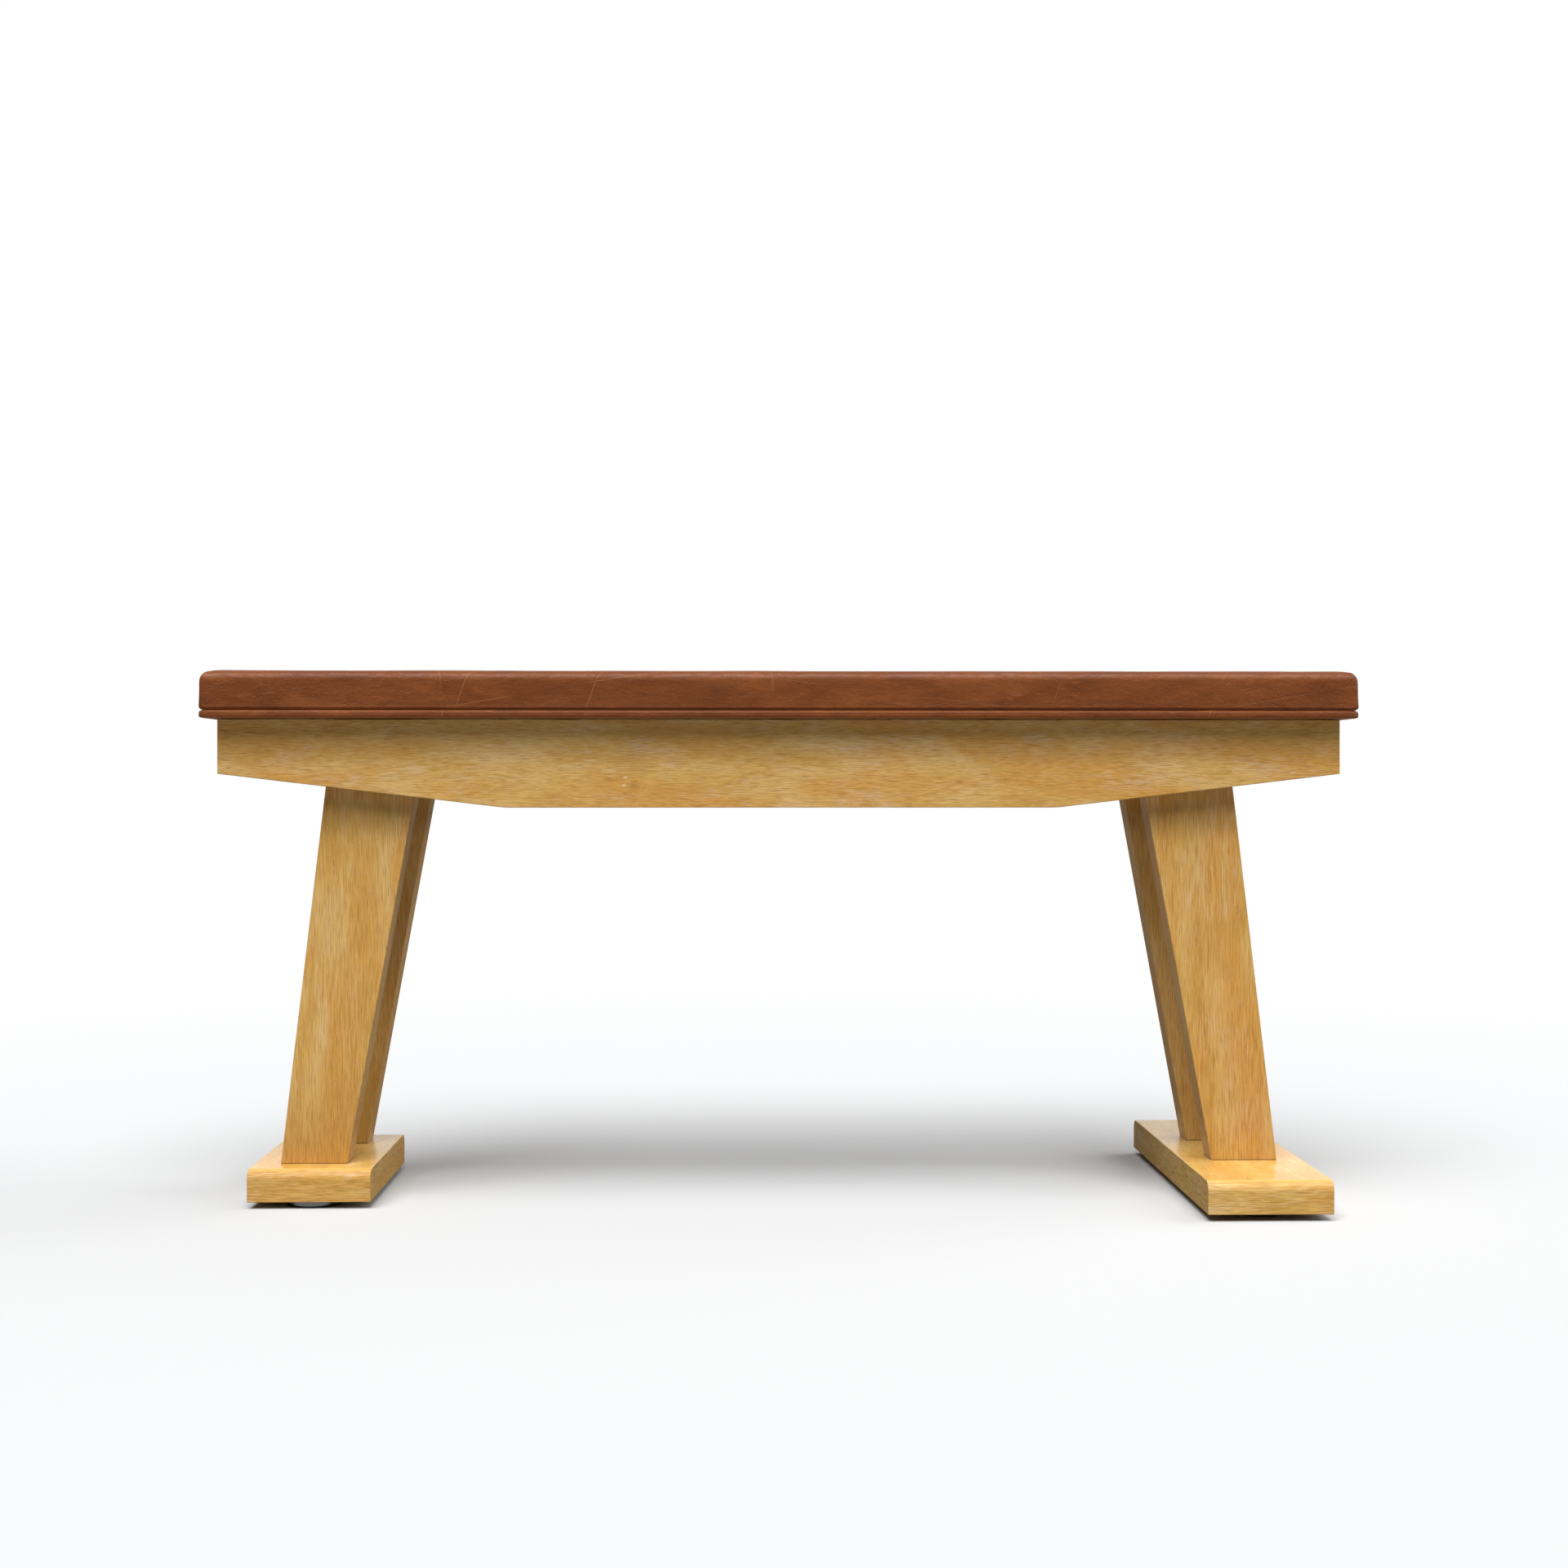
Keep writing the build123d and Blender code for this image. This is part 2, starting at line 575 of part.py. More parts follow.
def foot_screws():
    """Coach screws from below each foot board up into the legs."""
    screw = Pos(0, 0, foot_screw_bearing_z()) * hexagon_bolt(FOOT_SCREW)
    return [s for side, end in CORNERS for s in placed(screw, foot_screw_places(side, end))]


def foot_screw_washers():
    """One washer above each foot screw's head."""
    ring = washer(FOOT_SCREW_WASHER, FOOT_SCREW["radius"] + FIT)
    ring = Pos(0, 0, foot_screw_bearing_z()) * ring
    return [w for side, end in CORNERS for w in placed(ring, foot_screw_places(side, end))]


def foot_dowels():
    """Dowels that keep each leg square on its foot board."""
    pin = dowel(FOOT_DOWEL_LENGTH)
    return [d for side, end in CORNERS for d in placed(pin, foot_dowel_places(side, end))]


# ---------------------------------------------------------------- screw-in glides
def ring(inner, outer, low, high):
    """A flat ring along Z between two heights."""
    return rod(outer, low, high) - rod(inner, low - 1, high + 1)


def glide_sole(side, end):
    """Rubber sole that stands still on the floor; its rib runs in a groove in the disc."""
    sole = rod(GLIDE_RADIUS - SOLE_INSET, 0, SOLE_THICKNESS)
    sole = fillet(sole.edges().group_by(Axis.Z)[0], DISC_EDGE_ROUND / 2)
    rib = ring(SOLE_RIB_INNER, SOLE_RIB_OUTER, SOLE_THICKNESS / 2, SOLE_THICKNESS + SOLE_RIB_HEIGHT)
    return glide_place(side, end) * (sole + rib)


def glide_disc(side, end):
    """Metal disc that is turned by hand to raise or lower the foot."""
    low_z = SOLE_THICKNESS + RUN
    disc = rod(GLIDE_RADIUS, low_z, GLIDE_TOP_Z)
    disc = fillet(disc.edges().filter_by(GeomType.CIRCLE), DISC_EDGE_ROUND)
    groove_top = SOLE_THICKNESS + SOLE_RIB_HEIGHT + RUN
    disc = disc - ring(SOLE_RIB_INNER - RUN, SOLE_RIB_OUTER + RUN, 0, groove_top)
    disc = disc - rod(STUD_FLANGE_RADIUS + FIT, 0, low_z + STUD_FLANGE)
    return glide_place(side, end) * (disc - rod(STUD_RADIUS + FIT, 0, FOOT_BOTTOM_Z))


def glide_stud(side, end):
    """Stud fixed in the disc, which screws into the insert in the foot board."""
    low_z = SOLE_THICKNESS + RUN
    flange = rod(STUD_FLANGE_RADIUS, low_z, low_z + STUD_FLANGE)
    shank = rod(STUD_RADIUS, low_z, STUD_TOP_Z)
    shank = chamfer(shank.edges().group_by(Axis.Z)[-1], 1.0)
    return glide_place(side, end) * (flange + shank)


def glide_inserts():
    """Threaded inserts let into the foot boards from below, one for each stud."""
    sleeve_top = FOOT_BOTTOM_Z + GLIDE_INSERT_LENGTH
    sleeve = ring(STUD_RADIUS + RUN, GLIDE_INSERT_RADIUS, FOOT_BOTTOM_Z, sleeve_top)
    return [glide_place(side, end) * sleeve for side, end in CORNERS]


# ---------------------------------------------------------------- the whole horse
def all_parts():
    """Every node's name with its solid, or with its group of equal solids."""
    parts = {
        "pad_cover": pad_cover(),
        "pad_foam": pad_foam(),
        "pad_board": pad_board(),
        "pad_staples": pad_staples(),
        "pad_tee_nuts": pad_tee_nuts(),
        "pad_bolts": pad_bolts(),
        "pad_bolt_washers": pad_bolt_washers(),
        "base_cover": base_cover(),
        "base_board": base_board(),
        "base_staples": base_staples(),
        "base_screws": base_screws(),
        "frame_dowels": frame_dowels(),
        "yoke_screws": yoke_screws(),
        "leg_bolts": leg_bolts(),
        "leg_bolt_washers": leg_bolt_washers(),
        "leg_bolt_inserts": leg_bolt_inserts(),
        "foot_short_left": foot(-1, SHORT_FOOT_LENGTH),
        "foot_long_right": foot(1, LONG_FOOT_LENGTH),
        "foot_screws": foot_screws(),
        "foot_screw_washers": foot_screw_washers(),
        "foot_dowels": foot_dowels(),
        "glide_inserts": glide_inserts(),
    }
    for name, x in CROSS_RAILS.items():
        parts[f"cross_rail_{name}"] = cross_rail(x)
    for end in SIDES:
        parts[f"side_rail_{END_NAME[end]}"] = side_rail(end)
    for side in SIDES:
        parts[f"end_rail_{SIDE_NAME[side]}"] = end_rail(side)
        parts[f"leg_yoke_{SIDE_NAME[side]}"] = leg_yoke(side)
    for side, end in CORNERS:
        corner = f"{END_NAME[end]}_{SIDE_NAME[side]}"
        parts[f"leg_{corner}"] = leg(side, end)
        parts[f"glide_sole_{corner}"] = glide_sole(side, end)
        parts[f"glide_disc_{corner}"] = glide_disc(side, end)
        parts[f"glide_stud_{corner}"] = glide_stud(side, end)
    return parts


def write_parts():
    """One STEP file for each node."""
    os.makedirs("parts", exist_ok=True)
    for name, shape in all_parts().items():
        if isinstance(shape, list):
            shape = Compound(shape)
        shape.label = name
        export_step(shape, f"parts/{name}.step")


write_parts()
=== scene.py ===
"""The looks of the low leather-topped exercise horse, built round its CAD frame, in metres."""

import json
import math

import bmesh
import bpy
import numpy as np
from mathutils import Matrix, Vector, noise

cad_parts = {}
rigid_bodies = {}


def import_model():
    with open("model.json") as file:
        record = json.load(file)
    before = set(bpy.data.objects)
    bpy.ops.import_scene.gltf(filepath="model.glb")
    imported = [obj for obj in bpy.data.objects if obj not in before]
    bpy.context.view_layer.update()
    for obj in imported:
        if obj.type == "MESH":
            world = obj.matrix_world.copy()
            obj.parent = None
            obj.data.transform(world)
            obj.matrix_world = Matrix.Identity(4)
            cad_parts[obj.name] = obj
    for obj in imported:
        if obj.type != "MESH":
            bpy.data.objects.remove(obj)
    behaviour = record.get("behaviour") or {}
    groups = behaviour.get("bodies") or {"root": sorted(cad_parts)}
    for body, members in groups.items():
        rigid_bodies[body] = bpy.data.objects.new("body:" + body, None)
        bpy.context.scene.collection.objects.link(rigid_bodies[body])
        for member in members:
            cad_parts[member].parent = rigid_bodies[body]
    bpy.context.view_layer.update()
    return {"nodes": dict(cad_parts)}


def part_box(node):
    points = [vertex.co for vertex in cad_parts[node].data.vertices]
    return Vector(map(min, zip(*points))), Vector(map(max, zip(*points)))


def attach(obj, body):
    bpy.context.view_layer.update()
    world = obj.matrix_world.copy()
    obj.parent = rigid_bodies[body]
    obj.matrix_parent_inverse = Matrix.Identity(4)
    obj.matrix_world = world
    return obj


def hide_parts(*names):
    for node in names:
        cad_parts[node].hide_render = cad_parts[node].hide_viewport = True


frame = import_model()
NODES = frame["nodes"]

# ---------------------------------------------------------------- node helpers


class Look:
    """A node material, or the world's sky, under construction."""

    def __init__(self, name, kind="materials"):
        self.owner = getattr(bpy.data, kind).new(name)
        self.owner.use_nodes = True
        self.tree = self.owner.node_tree
        self.tree.nodes.clear()
        ending = "ShaderNodeOutputWorld" if kind == "worlds" else "ShaderNodeOutputMaterial"
        self.output = self.tree.nodes.new(ending)

    def node(self, kind, settings=None, inputs=None):
        """Adds a node; an input's value is a number, a tuple or another node's output."""
        made = self.tree.nodes.new(kind)
        for key, value in (settings or {}).items():
            setattr(made, key, value)
        for key, value in (inputs or {}).items():
            socket = made.inputs[key]
            if isinstance(value, bpy.types.NodeSocket):
                self.tree.links.new(value, socket)
            else:
                socket.default_value = value
        return made

    def place(self):
        """A point's place in the row frame, in metres."""
        return self.node("ShaderNodeTexCoord").outputs["Object"]

    def mapped(self, vector, scale=(1, 1, 1), rotation=(0, 0, 0), location=(0, 0, 0)):
        values = {"Vector": vector, "Scale": scale, "Rotation": rotation, "Location": location}
        return self.node("ShaderNodeMapping", inputs=values).outputs["Vector"]

    def noise(self, vector, scale=1.0, detail=2.0, rough=0.5, distort=0.0):
        values = {"Vector": vector, "Scale": scale, "Detail": detail, "Roughness": rough}
        values["Distortion"] = distort
        return self.node("ShaderNodeTexNoise", inputs=values).outputs["Fac"]

    def voronoi(self, vector, scale, feature="F1"):
        values = {"Vector": vector, "Scale": scale}
        made = self.node("ShaderNodeTexVoronoi", {"feature": feature}, values)
        return made.outputs["Distance"]

    def ramp(self, factor, stops):
        """Colours or grey levels blended along a factor; each stop is (place, value)."""
        made = self.node("ShaderNodeValToRGB", inputs={"Fac": factor})
        elements = made.color_ramp.elements
        while len(elements) < len(stops):
            elements.new(0.5)
        for element, (where, value) in zip(elements, stops):
            element.position = where
            colour = value if isinstance(value, tuple) else (value, value, value)
            element.color = (*colour, 1.0)
        return made.outputs["Color"]

    def mix(self, factor, first, second, how="MIX"):
        made = self.node("ShaderNodeMix", {"data_type": "RGBA", "blend_type": how})
        for number, value in ((0, factor), (6, first), (7, second)):
            socket = made.inputs[number]
            if isinstance(value, bpy.types.NodeSocket):
                self.tree.links.new(value, socket)
            elif isinstance(value, tuple):
                socket.default_value = (*value, 1.0)
            else:
                socket.default_value = value
        return made.outputs[2]

    def math(self, how, first, second=0.0):
        return self.node("ShaderNodeMath", {"operation": how}, {0: first, 1: second}).outputs[0]

    def rise(self, value, low, high):
        """0 below low, 1 above high, smooth between them; falls if high is below low."""
        made = self.node("ShaderNodeMapRange", {"interpolation_type": "SMOOTHSTEP"})
        made.inputs["From Min"].default_value = min(low, high)
        made.inputs["From Max"].default_value = max(low, high)
        made.inputs["To Min"].default_value = 0.0 if low < high else 1.0
        made.inputs["To Max"].default_value = 1.0 if low < high else 0.0
        self.tree.links.new(value, made.inputs["Value"])
        return made.outputs["Result"]

    def length(self, vector):
        made = self.node("ShaderNodeVectorMath", {"operation": "LENGTH"}, {0: vector})
        return made.outputs["Value"]

    def dot(self, first, second):
        made = self.node("ShaderNodeVectorMath", {"operation": "DOT_PRODUCT"}, {0: first, 1: second})
        return made.outputs["Value"]

    def facing(self, name):
        """How far the surface faces along a world axis."""
        return self.axis(self.node("ShaderNodeNewGeometry").outputs["Normal"], name)

    def axis(self, vector, name):
        return self.node("ShaderNodeSeparateXYZ", inputs={"Vector": vector}).outputs[name]

    def bump(self, height, distance, strength=1.0, base=None):
        values = {"Height": height, "Distance": distance, "Strength": strength}
        if base is not None:
            values["Normal"] = base
        return self.node("ShaderNodeBump", inputs=values).outputs["Normal"]

    def surface(self, **inputs):
        """Ends the material with a Principled surface; names have _ for spaces."""
        values = {key.replace("_", " "): value for key, value in inputs.items()}
        for key, value in values.items():
            if isinstance(value, tuple) and len(value) == 3:
                values[key] = (*value, 1.0)
        shader = self.node("ShaderNodeBsdfPrincipled", inputs=values)
        self.tree.links.new(shader.outputs[0], self.output.inputs["Surface"])
        return self.owner


# ---------------------------------------------------------------- wood

OAK_DEEP = (0.520, 0.280, 0.062)
OAK_GOLD = (0.600, 0.350, 0.092)
OAK_PALE = (0.650, 0.418, 0.155)
OAK_ORANGE = (0.590, 0.302, 0.066)
OAK_HAZE = (0.630, 0.462, 0.320)
OAK_PORE = (0.330, 0.165, 0.042)
OAK_SPECK = (0.78, 0.66, 0.44)
OAK_GLUE = (0.13, 0.055, 0.014)
KNOT_RING = (0.47, 0.235, 0.062)
KNOT_HEART = (0.34, 0.16, 0.045)
PAINTED_TOP_LIGHT = (1.14, 1.13, 0.94)  # painted light: multiplies the wood on a foot board's top, under its thick varnish, making it lighter
SHADE_LOW = (0.5, 0.5, 0.5)  # multiplies the wood low on the legs
PAINTED_SHADE_TOP = (0.45, 0.45, 0.45)  # painted shade: multiplies the wood under the lip of the pad, and on the legs' tops under the rails
PORE_WEIGHT = 0.55
GRAIN = [  # darkening of the fine lines, and lightening between them
    (0.27, (0.72, 0.62, 0.42)),
    (0.44, (0.93, 0.91, 0.84)),
    (0.56, (1.03, 1.05, 1.07)),
    (0.74, (1.13, 1.20, 1.30)),
]
RING_PITCH = 0.0021  # between the fine dark lines of the grain
QUARTER = math.pi / 2


def knot_field(look, place, knots):
    """How close a point is to a pin knot: 1 at its heart, falling to 0 at about two radii."""
    field = None
    for x, z, radius in knots:
        local = look.mapped(place, (1.0, 0.0, 1.9), location=(-x, 0.0, -1.9 * z))
        near = look.rise(look.length(local), 2.0 * radius, 0.0)
        field = near if field is None else look.math("MAXIMUM", field, near)
    return field


def oak(
    name,
    turn,
    seed,
    end_turn=None,
    knots=(),
    specks=(),
    figure=(7.0, 22.0),
    dashes=52.0,
    foot_level=None,
    painted_shade_from=None,
    gloss=0.12,
    contrast=0.70,
    haze_weight=0.58,
    tone=(1.0, 1.0, 1.0),
    calm_top=False,
):
    """Varnished oak; turn brings the grain onto X, and end_turn does it on faces that look along Y.

    figure is how many patches of colour there are in a metre, along and across the grain;
    dashes is how often the fine lines of the grain break off in a metre;
    foot_level is the height at which a board stands on another, with dark glue in the joint;
    painted shade colours the wood darker above a given height: under the pad's lip on a rail, and under
    a rail on a leg's top, a little less just below a rail's top;
    gloss is the weight of the varnish coat, contrast that of the fine grain, and tone tints it all;
    calm_top gives upper faces the thick varnish of a foot board: glossier, with fainter grain, and
    painted lighter."""
    look = Look(name)
    place = look.place()
    along = look.mapped(place, rotation=turn, location=(seed * 1.7, seed * 0.31, seed * 0.53))
    if end_turn is not None:
        other = look.mapped(place, rotation=end_turn, location=(seed * 0.9, seed * 0.77, seed * 0.19))
        factor = look.rise(look.math("ABSOLUTE", look.facing("Y")), 0.10, 0.30)
        blend = look.node("ShaderNodeMix", {"data_type": "VECTOR"}, {0: factor, 4: along, 5: other})
        along = blend.outputs[1]

    sway = look.noise(look.mapped(along, (2.0, 7.0, 7.0)), detail=1.0)
    sway = look.math("MULTIPLY", sway, 0.008)
    knotty = knot_field(look, place, knots) if knots else None
    if knotty is not None:
        sway = look.math("ADD", sway, look.math("MULTIPLY", knotty, 0.006))
    shift = look.node("ShaderNodeCombineXYZ", inputs={"Y": sway, "Z": sway})
    swayed = look.node("ShaderNodeVectorMath", {"operation": "ADD"}, {0: along, 1: shift.outputs[0]})
    swayed = swayed.outputs[0]

    slow, close = figure
    patch = look.noise(look.mapped(swayed, (slow, close, close)), detail=4.0, rough=0.62)
    apart = look.mapped(swayed, (slow * 0.8, close * 0.8, close * 0.8), location=(4.0, 1.0, 7.0))
    warmth = look.noise(apart, detail=4.0, rough=0.6)
    streak = look.noise(look.mapped(swayed, (dashes, 820.0, 820.0)), detail=1.0, rough=0.55)
    drift = look.noise(look.mapped(swayed, (7.0, 110.0, 110.0)), detail=1.0)
    across = look.dot(swayed, (0.0, 0.8, 1.0))
    across = look.math("ADD", across, look.math("MULTIPLY", drift, 0.010))
    rings = look.math("SINE", look.math("MULTIPLY", across, math.tau / RING_PITCH))
    broken = look.noise(look.mapped(swayed, (26.0, 300.0, 300.0), location=(3.0, 8.0, 2.0)), detail=1.0)
    rings = look.math("MULTIPLY", rings, look.math("MULTIPLY", look.rise(broken, 0.34, 0.62), 0.13))
    streak = look.math("ADD", streak, rings)
    hairs = look.noise(look.mapped(swayed, (dashes * 1.2, 1300.0, 1300.0)), detail=1.0, rough=0.5)
    haze = look.noise(look.mapped(along, (slow * 2.0, close * 1.6, close * 1.6)), detail=5.0, rough=0.7)
    fleck = look.noise(look.mapped(swayed, (130.0, 520.0, 520.0), location=(2.0, 5.0, 3.0)), detail=2.0)

    colour = look.ramp(patch, [(0.32, OAK_DEEP), (0.48, OAK_GOLD), (0.66, OAK_PALE)])
    colour = look.mix(look.math("MULTIPLY", look.rise(warmth, 0.44, 0.62), 0.85), colour, OAK_ORANGE)
    grain = look.ramp(streak, GRAIN)
    upward = 0.0
    if calm_top:
        upward = look.rise(look.facing("Z"), 0.72, 0.97)
        kept = look.math("SUBTRACT", 1.0, look.math("MULTIPLY", upward, 0.45))
        contrast = look.math("MULTIPLY", kept, contrast)
    colour = look.mix(contrast, colour, grain, "MULTIPLY")
    pale = look.math("MULTIPLY", look.rise(haze, 0.47, 0.70), look.rise(streak, 0.36, 0.62))
    colour = look.mix(look.math("MULTIPLY", pale, haze_weight), colour, OAK_HAZE)
    colour = look.mix(look.math("MULTIPLY", look.rise(fleck, 0.60, 0.74), 0.30), colour, OAK_HAZE)
    open_pores = look.math("SUBTRACT", 1.0, look.math("MULTIPLY", upward, 0.6))
    pore_mask = look.math("MULTIPLY", look.rise(hairs, 0.42, 0.33), open_pores)
    colour = look.mix(look.math("MULTIPLY", pore_mask, PORE_WEIGHT), colour, OAK_PORE)
    if knotty is not None:
        heart = look.math("POWER", knotty, 3.0)
        colour = look.mix(look.math("MULTIPLY", knotty, 0.42), colour, KNOT_RING)
        colour = look.mix(look.math("MULTIPLY", heart, 0.5), colour, KNOT_HEART)
    if specks:
        colour = look.mix(look.math("MULTIPLY", knot_field(look, place, specks), 0.7), colour, OAK_SPECK)
    if foot_level is not None:
        joint = look.rise(look.axis(place, "Z"), foot_level + 0.0020, foot_level + 0.0006)
        colour = look.mix(look.math("MULTIPLY", joint, 0.75), colour, OAK_GLUE)
        low = look.rise(look.axis(place, "Z"), foot_level + 0.17, foot_level + 0.02)
        colour = look.mix(look.math("MULTIPLY", low, 0.18), colour, SHADE_LOW, "MULTIPLY")
    # Painted shade: darker wood above the given height, under the pad's lip and under the rails, a
    # little less just below a rail's top.
    if painted_shade_from is not None:
        height = look.axis(place, "Z")
        shaded = look.math("MULTIPLY", look.rise(height, painted_shade_from, painted_shade_from + 0.034), 0.36)
        edge = look.math("MULTIPLY", look.rise(height, painted_shade_from + 0.046, painted_shade_from + 0.068), 0.22)
        colour = look.mix(look.math("SUBTRACT", shaded, edge), colour, PAINTED_SHADE_TOP, "MULTIPLY")
    if calm_top:
        # painted light: upward faces coloured lighter
        colour = look.mix(upward, colour, PAINTED_TOP_LIGHT, "MULTIPLY")
        gloss = look.math("ADD", look.math("MULTIPLY", upward, gloss), 0.06)
    colour = look.mix(1.0, colour, tone, "MULTIPLY")
    height = look.math("SUBTRACT", look.math("MULTIPLY", streak, 0.5), pore_mask)
    rough = look.math("ADD", look.math("MULTIPLY", pore_mask, 0.16), 0.40)
    rough = look.math("ADD", rough, look.math("MULTIPLY", haze, 0.08))
    return look.surface(
        Base_Color=colour,
        Roughness=rough,
        Normal=look.bump(height, 0.00010, 0.5),
        Coat_Weight=gloss,
        Coat_Roughness=0.20,
        Specular_IOR_Level=look.math("ADD", look.math("MULTIPLY", gloss, 0.5), 0.15),
    )


FOOT_LOOK = {
    "gloss": 0.50,
    "contrast": 0.98,
    "tone": (1.00, 1.05, 1.13),
    "haze_weight": 0.50,
    # glossier upper faces, also painted lighter
    "calm_top": True,
    "dashes": 40.0,
}
LEG_LOOK = {
    "figure": (5.0, 24.0),
    "haze_weight": 0.40,
    "tone": (0.99, 0.965, 0.93),
    "dashes": 31.0,
    # painted shade on the legs' tops, under the rails
    "painted_shade_from": 0.497,
}
RAIL_PAINTED_SHADE_DEPTH = 0.074  # how far below a rail's top its painted shade, under the pad's lip, reaches
RAIL_KNOTS = (  # along the front rail, height, radius
    (-0.204, 0.580, 0.008),
    (-0.216, 0.570, 0.005),
    (0.246, 0.586, 0.006),
    (-0.52, 0.632, 0.005),
)
RAIL_SPECKS = ((-0.2165, 0.5925, 0.0022), (-0.2180, 0.5815, 0.0024))


def dress_wood():
    """Gives each board its own stretch of oak, with the grain running along the board."""
    for index, name in enumerate(("side_rail_front", "side_rail_rear")):
        knots = [(x * (1 - 2 * index), z, radius) for x, z, radius in RAIL_KNOTS]
        specks = [(x * (1 - 2 * index), z, radius) for x, z, radius in RAIL_SPECKS]
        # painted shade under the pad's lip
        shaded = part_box(name)[1].z - RAIL_PAINTED_SHADE_DEPTH
        looks = {"knots": knots, "specks": specks, "painted_shade_from": shaded}
        dress(name, oak(f"oak_{name}", (0, 0, 0), index * 3.1 + 0.4, **looks))
    crossing = ["end_rail_left", "end_rail_right", "cross_rail_left", "cross_rail_centre"]
    crossing += ["cross_rail_right", "leg_yoke_left", "leg_yoke_right"]
    for index, name in enumerate(crossing):
        dress(name, oak(f"oak_{name}", (0, 0, -QUARTER), index * 2.3 + 5.0))
    for index, name in enumerate(("foot_short_left", "foot_long_right")):
        seed = index * 4.7 + 9.0
        dress(name, oak(f"oak_{name}", (0, 0, -QUARTER), seed, end_turn=(0, 0, 0), **FOOT_LOOK))
    legs = ("leg_front_left", "leg_rear_left", "leg_front_right", "leg_rear_right")
    for index, name in enumerate(legs):
        seed = index * 2.9 + 14.0
        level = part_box("foot_short_left" if name.endswith("left") else "foot_long_right")[1].z
        dress(name, oak(f"oak_{name}", (0, QUARTER, 0), seed, foot_level=level, **LEG_LOOK))


VENEER = 0.0015  # thickness of one layer of plywood


def plywood(name):
    """Birch plywood: pale long grain on the faces and thin dark glue lines on the edges."""
    look = Look(name)
    place = look.place()
    grain = look.noise(look.mapped(place, (9.0, 420.0, 420.0)), detail=4.0)
    figure = look.noise(look.mapped(place, (2.0, 26.0, 26.0)), detail=3.0)
    colour = look.ramp(figure, [(0.3, (0.55, 0.38, 0.2)), (0.7, (0.70, 0.53, 0.31))])
    colour = look.mix(0.5, colour, look.ramp(grain, [(0.3, 0.7), (0.7, 1.1)]), "MULTIPLY")
    veneer = look.math("FRACT", look.math("MULTIPLY", look.axis(place, "Z"), 1 / VENEER))
    line = look.rise(look.math("ABSOLUTE", look.math("SUBTRACT", veneer, 0.5)), 0.08, 0.02)
    colour = look.mix(look.math("MULTIPLY", line, 0.5), colour, (0.16, 0.08, 0.03))
    return look.surface(Base_Color=colour, Roughness=0.7, Normal=look.bump(grain, 0.0001, 0.4))


# ---------------------------------------------------------------- leather

LEATHER_DEEP = (0.138, 0.0365, 0.0075)
LEATHER_MAIN = (0.174, 0.0455, 0.0082)
LEATHER_WARM = (0.222, 0.0640, 0.0125)
LEATHER_WORN = (0.480, 0.2100, 0.0900)
# painted shade in the tuck under the pad and the lip
LEATHER_PAINTED_TUCK_SHADE = (0.055, 0.0140, 0.0040)
# painted highlight on the pad's top edge
LEATHER_PAINTED_SHEEN = (0.400, 0.2500, 0.2000)
# painted light on faces that look down
LEATHER_PAINTED_UNDER_LIGHT = (0.380, 0.1500, 0.0560)

SCRATCHES = (  # direction across the lines, lines per metre, thinness, where they lie
    ((1.00, 0.30, 0.05), 2.2, 0.0014, 2.3),
    ((-0.17, 0.45, 0.98), 9.0, 0.0035, 5.1),
    ((0.94, -0.60, -0.34), 2.6, 0.0018, 9.4),
    ((0.12, -0.75, 0.99), 11.0, 0.0035, 13.7),
)


def scratch_lines(look, place):
    """Long, straight, faint scratches in a few directions, each broken off by a slow noise."""
    lines = None
    for across, often, width, seed in SCRATCHES:
        values = {"W": look.math("ADD", look.dot(place, across), seed), "Scale": often, "Detail": 0.0}
        crest = look.node("ShaderNodeTexNoise", {"noise_dimensions": "1D"}, values).outputs["Fac"]
        line = look.rise(look.math("ABSOLUTE", look.math("SUBTRACT", crest, 0.5)), width, 0.0)
        patch = look.noise(look.mapped(place, location=(seed, 1.0, -seed)), 9.0, detail=1.0)
        line = look.math("MULTIPLY", line, look.rise(patch, 0.50, 0.60))
        lines = line if lines is None else look.math("MAXIMUM", lines, line)
    return lines


